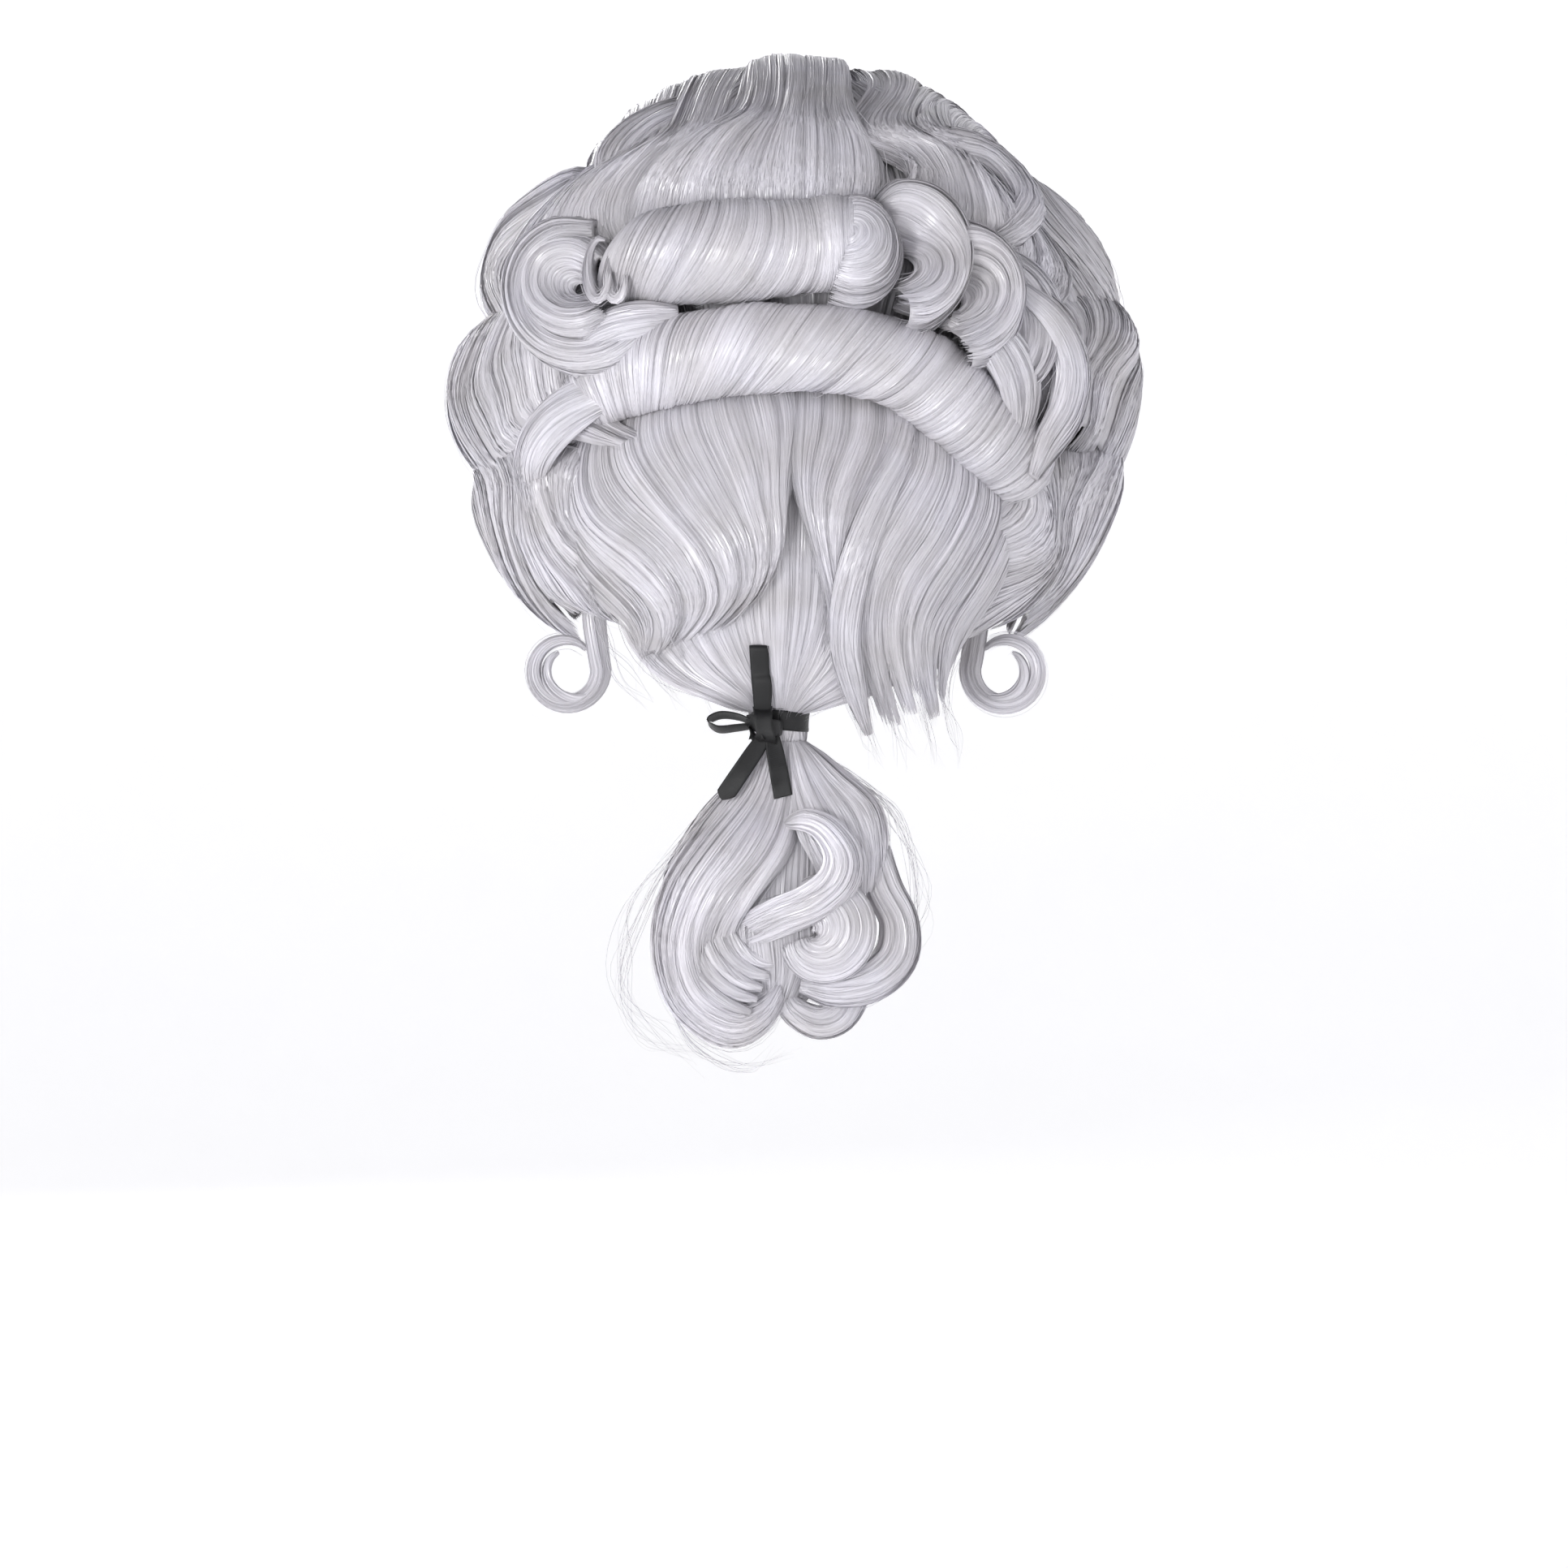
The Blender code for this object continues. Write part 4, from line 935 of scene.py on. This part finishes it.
def queue_hair():
    """The tied tail: a broad lock that sweeps left and curls under, a right lock and the curls between."""
    x, y = PIVOT[0], PIVOT[1]
    waist = Hair("queue_waist_hair", 71)
    ball_of_hair(waist, (x, y, -121), (x, y, -137), (10.2, 9.9, 9.6))
    piece = waist.finish(None, "queue_neck")
    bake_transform(piece)
    lower = Hair("queue_waist_lower_hair", 72)
    ball_of_hair(lower, (x, y, -131), (x, y + 1, -152), (9.6, 10.5, 12.5))
    piece = lower.finish(None)
    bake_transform(piece)

    def hang(piece):
        """Bakes a lock's placement into its mesh."""
        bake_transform(piece)

    body = Hair("queue_body_hair", 73)
    # The queue's body, under its locks, is painted darker, as painted shade.
    body.tuft([(x, y, -138), (7, 89, -158), (7, 88, -185), (9, 88, -212), (10, 90, -232)],
              (9, 18, 24, 24, 10), 0.75, face=BACK, strands=600, locks=12, depth=1.6, tone=0.92)
    body.finish("queue", "queue_body")

    left = Hair("queue_lock_left_hair", 74)
    sweep = trails(
        seen,
        ((15, -127, 93), (24, -144, 95), (42, -166, 96), (54, -186, 94), (58, -208, 92), (53, -232, 92),
         (41, -246, 93), (26, -252, 94), (12, -246, 95), (4, -233, 95)),
        ((12, -127, 96), (20, -147, 99), (36, -168, 107), (48, -187, 107), (53, -209, 105), (48, -230, 104),
         (37, -242, 103), (24, -247, 102), (12, -241, 101), (5, -230, 99)),
        ((8, -127, 98), (14, -149, 101), (28, -171, 114), (39, -189, 115), (45, -209, 112), (42, -226, 109),
         (33, -236, 107), (22, -240, 105), (12, -235, 103), (6, -226, 101)),
        ((5, -127, 98.5), (7, -150, 102), (14, -171, 112), (27, -190, 115), (35, -207, 107), (34, -220, 102),
         (28, -228, 100), (19, -232, 100), (11, -228, 99), (6, -221, 98)),
        ((2, -127, 98), (-2, -150, 102), (-3, -170, 108), (5, -186, 110), (18, -201, 104), (26, -212, 97),
         (22, -219, 96), (16, -222, 96), (10, -220, 96), (6, -215, 96)),
    )
    # The queue's locks are painted lighter than the rest of the hair, as painted highlight.
    left.lay(sweep, strands=1900, locks=9, depth=1.3, drift=0.5, ends=(0.0, 0.14), fly=40, fuzz=0.5,
             steps=30, tuck=0, fine=0.5, tone=1.1)
    left.wisps(trail(seen, (14, -130, 96), (46, -168, 96), (64, -196, 92), (70, -222, 90), (58, -245, 90),
                     (40, -256, 92)), 16, 5)
    left.wisps(trail(seen, (52, -232, 96), (42, -250, 94), (22, -259, 93), (4, -252, 93)), 10, 3)
    inside = trail(seen, (13, -140, 90), (29, -166, 92), (38, -192, 91), (36, -218, 91), (22, -236, 92))
    left.tuft(inside, (6, 12, 15, 13, 6), 0.8, face=BACK, strands=600, locks=10, depth=1.3, fly=10,
              steps=24)
    hub = np.array(seen(8, -197, 104))
    for radius, begin in ((19, 8), (24, 14), (29, 18), (34, 20), (39, 22)):
        crescent = arc(hub + np.array([0, (radius - 18) * 0.12, 0]), LEFT, UP, radius, begin, -98, 9)
        left.tuft(crescent, (0.8, 2.0, 2.6, 2.4, 1.2), 0.6, face=BACK, strands=90, locks=3, depth=0.5,
                  fly=3, steps=22)
    hang(left.finish(None, "queue_lock_left"))

    right = Hair("queue_lock_right_hair", 75)
    fall = trails(
        seen,
        ((4, -127, 98), (2, -146, 103), (-1, -162, 110), (-6, -176, 110), (-10, -190, 106)),
        ((1, -127, 97.5), (-5, -143, 104), (-13, -160, 110), (-20, -176, 110), (-22, -192, 106)),
        ((-2, -127, 95.5), (-14, -140, 100), (-28, -154, 103), (-32, -170, 104), (-31, -188, 102)),
        ((-4.5, -127, 90), (-21, -140, 94), (-35, -153, 95), (-38, -170, 95), (-35, -190, 95)),
    )
    # Painted lighter, as painted highlight.
    right.lay(fall, strands=1100, locks=6, depth=1.2, drift=0.5, ends=(0.0, 0.16), fly=24, tuck=0, fine=0.5,
              tone=1.08)
    right.wisps(trail(seen, (-4, -130, 94), (-24, -142, 95), (-42, -158, 94), (-50, -186, 92),
                      (-46, -208, 92), (-30, -226, 94)), 14, 4)
    cross = trails(
        seen,
        ((6, -157, 107), (-6, -154, 112), (-18, -159, 113), (-27, -172, 111), (-26, -186, 111),
         (-14, -198, 111), (2, -206, 110), (18, -212, 103)),
        ((5, -160, 111), (-4, -158, 116), (-13, -162, 118), (-20, -173, 119), (-18, -184, 119),
         (-8, -193, 118), (6, -199, 114), (22, -206, 105)),
        ((4, -163, 108), (-2, -162, 113), (-8, -165, 115), (-12, -173, 116), (-10, -180, 116),
         (-2, -186, 115), (10, -191, 111), (25, -198, 104)),
    )
    # Painted lighter still, as painted highlight.
    right.lay(cross, strands=800, locks=6, depth=1.1, fly=20, curl=4, tuck=2, steps=28, ends=(0.03, 0.3),
              cuts=0.1, fine=0.5, tone=1.14)
    hang(right.finish(None, "queue_lock_right"))

    curl = Hair("queue_curl_right_hair", 76)
    middle = np.array(seen(-8, -205, 106))
    ring_path = arc(middle, LEFT, UP, (14, 7), 70, 270, 12)
    # Painted lighter, as painted highlight.
    curl.tuft(ring_path, (7, 11, 12, 11, 9, 6), 0.6, face=BACK, strands=700, locks=8, fly=14, steps=30,
              tone=1.05)
    curl.wisps(trail(seen, (-34, -176, 98), (-44, -198, 98), (-44, -216, 98), (-32, -228, 99),
                     (-14, -233, 99)),
               14, 3)
    outer = trail(seen, (-33, -170, 96), (-36, -186, 98), (-42, -200, 98), (-41, -214, 98), (-31, -224, 99),
                  (-16, -228, 100), (-2, -226, 100))
    curl.tuft(outer, (5, 6.5, 6.5, 7, 6.5, 5, 2.5), 0.6, face=BACK, strands=420, locks=7, depth=1.4,
              fly=10, steps=30)
    curl.finish("queue", "queue_curl_right")

    tip = Hair("queue_curl_tip_hair", 77)
    hook = trail(seen, (-22, -216, 92), (-23, -228, 93), (-18, -238, 94), (-9, -241, 95), (1, -236, 95),
                 (5, -228, 94))
    tip.tuft(hook, (5, 6, 6, 5.5, 4.5, 2.5), 0.7, face=BACK, strands=340, locks=6, depth=1.3, fly=8,
             steps=26)
    tip.finish("queue", "queue_curl_tip")


def ringlets():
    """The small free ringlets below each side, one turn of a thin lock."""
    for side, sign, seed in (("left", 1, 81), ("right", -1, 82)):
        node = f"ringlet_{side}"
        low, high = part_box(node)
        middle = np.array([(low[0] + high[0]) / 2 / MM + sign * 0.8, centre_of(node)[1], low[2] / MM + 17.1])
        across = (sign, 0, 0)
        hinge = np.array([sign * (abs(middle[0]) - 11.5), middle[1], high[2] / MM])
        root = hinge + np.array([-sign * 3, 1, 24])
        neck = hinge + np.array([-sign * 0.5, 0, 10])
        turn = arc(middle, across, UP, (14.2, 12.0), 158, 338, 16)
        hair = Hair(f"{node}_hair", seed)
        hair.tuft([root, neck, hinge, *turn], (3.0, 4.2, 3.8, 3.4, 3.0, 2.4, 1.8, 0.8), 0.8, face=BACK,
                  rows=121, strands=200, locks=5, depth=0.7, fly=10, steps=44, fuzz=0.2, width=0.7)
        inner = arc(middle + np.array([-sign * 2.5, 1.5, 0]), across, UP, (12.5, 9), 215, 200, 12)
        hair.tuft(inner, (0.8, 1.6, 1.9, 1.4, 0.7), 0.8, face=BACK, strands=60, locks=3, depth=0.3,
                  steps=30, fuzz=0.15, width=0.6)
        piece = hair.finish(None, node)
        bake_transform(piece)


def hair():
    under_hair()
    crown_falls()
    front_pouf()
    side_waves()
    rolls()
    nape_hair()
    queue_hair()
    ringlets()


hair()

# ---------------------------------------------------------------- ribbon


def strip(path, across, widths, thick=0.45, cup=0.25, rows=60, slant=0.0, point=0.0):
    """A ribbon's closed mesh: points and faces along a path, with its width along the across directions."""
    line = even(np.array(path, float), rows)
    wide = unit(spline(np.array(across, float), np.linspace(0, 1, rows)))
    along = unit(np.gradient(line, axis=0))
    wide = unit(wide - along * np.sum(wide * along, axis=1, keepdims=True))
    out = np.cross(along, wide)
    half = stations(widths, np.linspace(0, 1, rows))[:, None] / 2
    side = np.linspace(-1, 1, 9)
    rim_line = np.concatenate([side, side[::-1]])
    face = np.concatenate([np.ones(9), -np.ones(9)])
    plump = 0.5 * thick * (1 + 0.3 * np.abs(rim_line) ** 6) * (1 - 0.5 * (np.abs(rim_line) > 0.99))
    lift = face * plump + cup * (1 - rim_line**2)
    cut_line = slant * rim_line - point * np.abs(rim_line) ** 1.5
    late = np.clip(np.linspace(-5, 1, rows), 0, 1)[:, None, None] * cut_line[None, :, None]
    points = line[:, None] + wide[:, None] * (half * rim_line[None, :])[..., None] + out[:,
                                                                                         None] * lift[None,
                                                                                                      :, None]
    points = points + along[:, None] * late
    index = np.arange(rows * 18).reshape(rows, 18)
    after = np.roll(index, -1, axis=1)
    quads = np.stack([index[:-1], after[:-1], after[1:], index[1:]], axis=-1).reshape(-1, 4)
    return points.reshape(-1, 3), [*map(tuple, quads), tuple(index[0, ::-1]), tuple(index[-1])]


def soft_piece(name, parts, material, slot, body, *replaced):
    """One mesh of several closed parts, smooth, in a material, on a body; its slot argument is not used."""
    points, faces = [], []
    for some, quads in parts:
        faces += [tuple(int(i) + len(points) for i in face) for face in quads]
        points += [tuple(float(c) * MM for c in p) for p in some]
    mesh = bpy.data.meshes.new(name)
    mesh.from_pydata(points, [], faces)
    mesh.validate()
    mesh.shade_smooth()
    mesh.materials.append(material)
    obj = bpy.data.objects.new(name, mesh)
    bpy.context.scene.collection.objects.link(obj)
    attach(obj, body)
    if replaced:
        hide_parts(*replaced)
    return obj


def weave(name, thread, gap, pitch, turn, depth, roughness, sheen=0.2, metallic=0.0):
    """Woven or knitted cloth: two crossed sets of fine bands at a pitch in millimetres, of uneven colour."""
    made, tree, shader = new_material(name)
    where = add(tree, "ShaderNodeTexCoord")
    bands = []
    for angle in (turn, turn + math.pi / 2):
        mapping = add(tree, "ShaderNodeMapping")
        mapping.inputs["Rotation"].default_value = (angle * 0.5, angle, 0.3)
        tree.links.new(where.outputs["Object"], mapping.inputs["Vector"])
        wave = add(tree, "ShaderNodeTexWave")
        wave.inputs["Scale"].default_value = 0.314 / (pitch * MM)
        wave.inputs["Distortion"].default_value = 0.6
        wave.inputs["Detail"].default_value = 1.0
        tree.links.new(mapping.outputs[0], wave.inputs["Vector"])
        bands.append(wave.outputs["Fac"])
    top = add(tree, "ShaderNodeMath", operation="MAXIMUM")
    tree.links.new(bands[0], top.inputs[0])
    tree.links.new(bands[1], top.inputs[1])
    uneven = noise(tree, 90, 4)
    mixed = add(tree, "ShaderNodeMath", operation="MULTIPLY_ADD")
    tree.links.new(uneven.outputs["Fac"], mixed.inputs[0])
    mixed.inputs[1].default_value = 0.35
    tree.links.new(top.outputs[0], mixed.inputs[2])
    colour = ramp(tree, mixed.outputs[0], ((0.45, gap), (1.0, thread)))
    tree.links.new(colour.outputs["Color"], shader.inputs["Base Color"])
    rough = add(tree, "ShaderNodeMapRange")
    tree.links.new(uneven.outputs["Fac"], rough.inputs["Value"])
    rough.inputs["To Min"].default_value = roughness - 0.1
    rough.inputs["To Max"].default_value = roughness + 0.12
    tree.links.new(rough.outputs["Result"], shader.inputs["Roughness"])
    bump = add(tree, "ShaderNodeBump")
    bump.inputs["Strength"].default_value = depth
    bump.inputs["Distance"].default_value = 0.0003
    tree.links.new(mixed.outputs[0], bump.inputs["Height"])
    tree.links.new(bump.outputs["Normal"], shader.inputs["Normal"])
    shader.inputs["Sheen Weight"].default_value = sheen
    shader.inputs["Metallic"].default_value = metallic
    return made


def ribbons():
    """The black satin bow: a band round the tail, a knot, two loops and two tails."""
    satin = weave("ribbon_satin_black", (0.009, 0.0092, 0.01), (0.004, 0.004, 0.0045), 0.35, 0.2, 0.25,
                  0.42, 0.03)
    satin.node_tree.nodes["Principled BSDF"].inputs["Specular IOR Level"].default_value = 0.4
    x, y, z = TIE
    ring, up = [], []
    for a in np.linspace(0, 2 * math.pi, 25):
        ring.append((x + 11.6 * math.sin(a), y + 11.6 * math.cos(a), z + 0.5 * math.sin(2 * a + 0.6)))
        up.append((0.06 * math.sin(a), 0.16 * math.cos(a), 1))
    soft_piece("ribbon_band_satin", [strip(ring, up, (7.8, 7.4, 8.0, 7.6, 7.8), rows=120)], satin,
               "ribbon_satin", "root", "ribbon_band")

    kx, ky, kz = centre_of("ribbon_knot")
    over_band = [(kx + 0.4, ky + 0.4, kz + 7.4), (kx + 0.2, ky + 4.2, kz + 4.6), (kx, ky + 5.2, kz + 0.5),
                 (kx - 0.9, ky + 4.6, kz - 4.2), (kx - 1.6, ky + 0.6, kz - 7.6)]
    crossing = [(kx + 6.4, ky - 0.4, kz + 1.8), (kx + 3.6, ky + 3.2, kz + 1.2),
                (kx - 1.0, ky + 3.9, kz - 0.4), (kx - 5.2, ky + 2.2, kz - 1.0),
                (kx - 7.0, ky - 1.6, kz - 0.6)]
    fold = [(kx + 5.2, ky + 0.2, kz - 1.0), (kx + 3.4, ky + 3.0, kz - 3.2), (kx + 1.6, ky + 2.4, kz - 6.2)]
    soft_piece("ribbon_knot_satin", [
        strip(over_band, [(1, 0, 0), (1, 0, 0.05), (1, 0, 0.1), (1, 0, 0.16), (1, 0, 0.2)],
              (7.6, 7.2, 6.8, 7.0, 7.2)),
        strip(crossing, [(0, 0.2, 1)] * 5, (5.0, 6.4, 6.8, 6.6, 6.0)),
        strip(fold, [(0.7, 0, 0.7)] * 3, (5.5, 6.2, 6.4)),
    ], satin, "ribbon_satin", "root", "ribbon_knot")

    low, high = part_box("ribbon_loop_up")
    fx, fz = (low[0] + high[0]) / 2 / MM, low[2] / MM
    fy, top = low[1] / MM + 0.6, high[2] / MM
    tall = top - fz
    lean = (high[1] / MM - 1.2 - fy)
    front = [(fx + 0.1, fy + 1.0, fz), (fx + 0.2, fy + 0.5 * lean + 1.6, fz + 0.42 * tall),
             (fx + 0.9, fy + 0.62 * lean + 0.9, fz + 0.6 * tall), (fx + 1.4, fy + lean + 0.9,
                                                                   fz + 0.93 * tall),
             (fx + 1.5, fy + lean + 0.2, fz + tall), (fx + 1.4, fy + lean - 0.9, fz + 0.95 * tall),
             (fx + 0.9, fy + 0.62 * lean - 1.0, fz + 0.6 * tall), (fx + 0.1, fy + 0.1, fz + 0.1 * tall)]
    soft_piece("ribbon_loop_up_satin", [
        strip(front, [(1, 0, -0.04)] * 3 + [(1, 0.05, 0.02)] * 5, (6.4, 7.4, 7.2, 7.4, 7.4, 7.4, 7.2, 6.4),
              rows=90),
    ], satin, "ribbon_satin", "ribbon_loop_up", "ribbon_loop_up")

    low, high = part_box("ribbon_loop_side")
    fx, fy, fz = low[0] / MM - 1.5, (low[1] + high[1]) / 2 / MM, (low[2] + high[2]) / 2 / MM
    reach = high[0] / MM - fx
    around_loop = [(fx, fy, fz - 0.6), (fx + 0.35 * reach, fy, fz + 2.2), (fx + 0.75 * reach, fy, fz + 3.0),
                   (fx + reach, fy, fz + 0.6), (fx + 0.8 * reach, fy, fz - 2.4),
                   (fx + 0.4 * reach, fy, fz - 1.9), (fx, fy, fz - 0.9)]
    soft_piece("ribbon_loop_side_satin", [
        strip(around_loop, [(0.1, 0.9, 0.42)] * 7, (5.6, 6.4, 6.8, 6.8, 6.8, 6.4, 5.6), rows=90),
    ], satin, "ribbon_satin", "ribbon_loop_side", "ribbon_loop_side")

    for side, along, across, slant, point, bend, shorter in (
        ("left", (0.56, -0.83), (0.83, 0, 0.56), 0.9, 3.0, 0.9, 2.2),
        ("right", (-0.18, -0.98), (0.98, 0, -0.18), 0.3, 0.0, 1.2, 0.0),
    ):
        node = f"ribbon_tail_{side}"
        low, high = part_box(node)
        middle = (np.array(low) + np.array(high)) / 2 / MM
        reach = (high[2] - low[2]) / MM / abs(along[1]) * 0.46
        way = np.array([along[0], 0, along[1]])
        start = middle - way * (reach + 3.6)
        knots = [start + np.array([0, -0.4, 0]), middle - way * 0.5 * reach + np.array([0, bend, 0]),
                 middle + np.array([0, bend * 1.5, 0]),
                 middle + way * 0.55 * reach + np.array([0, bend * 0.4, 0]),
                 middle + way * (reach - shorter) + np.array([0, 0.2, 0])]
        turned = [np.array(across) + np.array([0, t, 0]) for t in (0.0, 0.12, 0.2, 0.05, -0.15)]
        soft_piece(f"{node}_satin", [strip(knots, turned, (5.4, 6.8, 7.2, 7.3, 7.3), slant=slant,
                                           point=point)], satin,
                   "ribbon_satin", node, node)


# ---------------------------------------------------------------- cap


def dress(material, *nodes):
    """Gives CAD nodes a procedural material in place of their plain one."""
    for node in nodes:
        obj = NODES[node]
        obj.data.materials.clear()
        obj.data.materials.append(material)


def cap():
    """The materials of the sewn cap inside, its bands, straps and hooks, and the elastic in the tail."""
    net = weave("cap_net_knit", (0.55, 0.53, 0.50), (0.20, 0.19, 0.18), 1.5, 0.785, 0.9, 0.75)
    tape = weave("cap_tape_twill", (0.66, 0.64, 0.61), (0.44, 0.42, 0.39), 0.7, 0.6, 0.7, 0.8)
    weft = weave("weft_binding", (0.62, 0.61, 0.62), (0.40, 0.39, 0.38), 0.9, 0.1, 0.8, 0.7)
    ribbed = weave("strap_elastic", (0.60, 0.59, 0.57), (0.36, 0.35, 0.34), 1.0, 1.2, 0.9, 0.65)
    dark = weave("tail_elastic", (0.05, 0.05, 0.052), (0.02, 0.02, 0.02), 0.6, 0.4, 0.8, 0.6)
    steel = weave("hook_steel", (0.62, 0.62, 0.63), (0.52, 0.52, 0.53), 0.5, 0.9, 0.1, 0.3, 0.0, 1.0)
    dress(net, "crown_net")
    dress(tape, "centre_tape", "front_band", "nape_band", "ear_tab_left", "ear_tab_right",
          "ear_curve_band_left", "ear_curve_band_right")
    dress(weft, *(f"weft_row_{k}" for k in range(1, 7)))
    dress(ribbed, "adjuster_strap_left", "adjuster_strap_right", "strap_keeper_left", "strap_keeper_right")
    dress(dark, "hair_elastic")
    dress(steel, "adjuster_hook_left", "adjuster_hook_right")


ribbons()
cap()

# ---------------------------------------------------------------- studio


def studio():
    """A pale floor, even studio light, and the camera level behind the wig."""
    scene = bpy.context.scene
    camera = bpy.data.cameras.new("camera")
    camera.lens = CAMERA_LENS
    camera.sensor_width = 36
    eye = bpy.data.objects.new("camera", camera)
    eye.location = Vector(CAMERA_PLACE) * MM
    eye.rotation_euler = (math.radians(90), 0, math.radians(180))
    scene.collection.objects.link(eye)
    scene.camera = eye
    world = bpy.data.worlds.new("studio")
    world.use_nodes = True
    world.node_tree.nodes["Background"].inputs["Color"].default_value = (0.93, 0.92, 1.0, 1)
    world.node_tree.nodes["Background"].inputs["Strength"].default_value = 0.24
    scene.world = world
    scene.view_settings.view_transform = "Standard"
    for name, place, size, power in (
        ("key", (1.0, 1.9, -0.2), 0.6, 17.5),
        ("fill", (-1.6, 0.6, 0.9), 1.4, 2.0),
        ("front", (0.9, -2.2, 0.9), 1.4, 20.0),
    ):
        light = bpy.data.lights.new(name, "AREA")
        light.shape = "DISK"
        light.size = size
        light.energy = power
        lamp = bpy.data.objects.new(name, light)
        lamp.location = place
        lamp.rotation_mode = "QUATERNION"
        lamp.rotation_quaternion = (Vector((0, 0, -0.04)) - Vector(place)).to_track_quat("-Z", "Y")
        scene.collection.objects.link(lamp)
    stage = round_stage(CAD_BOX[0][2] - 0.3)
    scene.collection.objects.link(stage)


def round_stage(level):
    """A round floor whose edge curves up into a low wall, so that no horizon shows."""
    flat, bend, wall = 3.0, 1.5, 1.6
    profile = [(0.01, 0.0), (flat, 0.0)]
    profile += [(flat + bend * math.sin(a), bend * (1 - math.cos(a))) for a in np.linspace(0.15,
                                                                                           math.pi / 2, 10)]
    profile.append((flat + bend, bend + wall))
    sides = 96
    points = []
    for radius, height in profile:
        for k in range(sides):
            a = 2 * math.pi * k / sides
            points.append((radius * math.cos(a), radius * math.sin(a), level + height))
    faces = []
    for row in range(len(profile) - 1):
        for k in range(sides):
            after = (k + 1) % sides
            faces.append((row * sides + k, row * sides + after, (row + 1) * sides + after,
                          (row + 1) * sides + k))
    faces.append(tuple(range(sides)))
    mesh = bpy.data.meshes.new("floor")
    mesh.from_pydata(points, [], faces)
    mesh.shade_smooth()
    made, tree, shader = new_material("floor")
    tint = ramp(tree, noise(tree, 3, 4).outputs["Fac"],
                ((0.3, (0.86, 0.86, 0.87)), (0.7, (0.88, 0.88, 0.89))))
    tree.links.new(tint.outputs["Color"], shader.inputs["Base Color"])
    shader.inputs["Roughness"].default_value = 0.9
    shader.inputs["Emission Color"].default_value = (1, 1, 1, 1)
    shader.inputs["Emission Strength"].default_value = 0.42
    mesh.materials.append(made)
    return bpy.data.objects.new("floor", mesh)


studio()
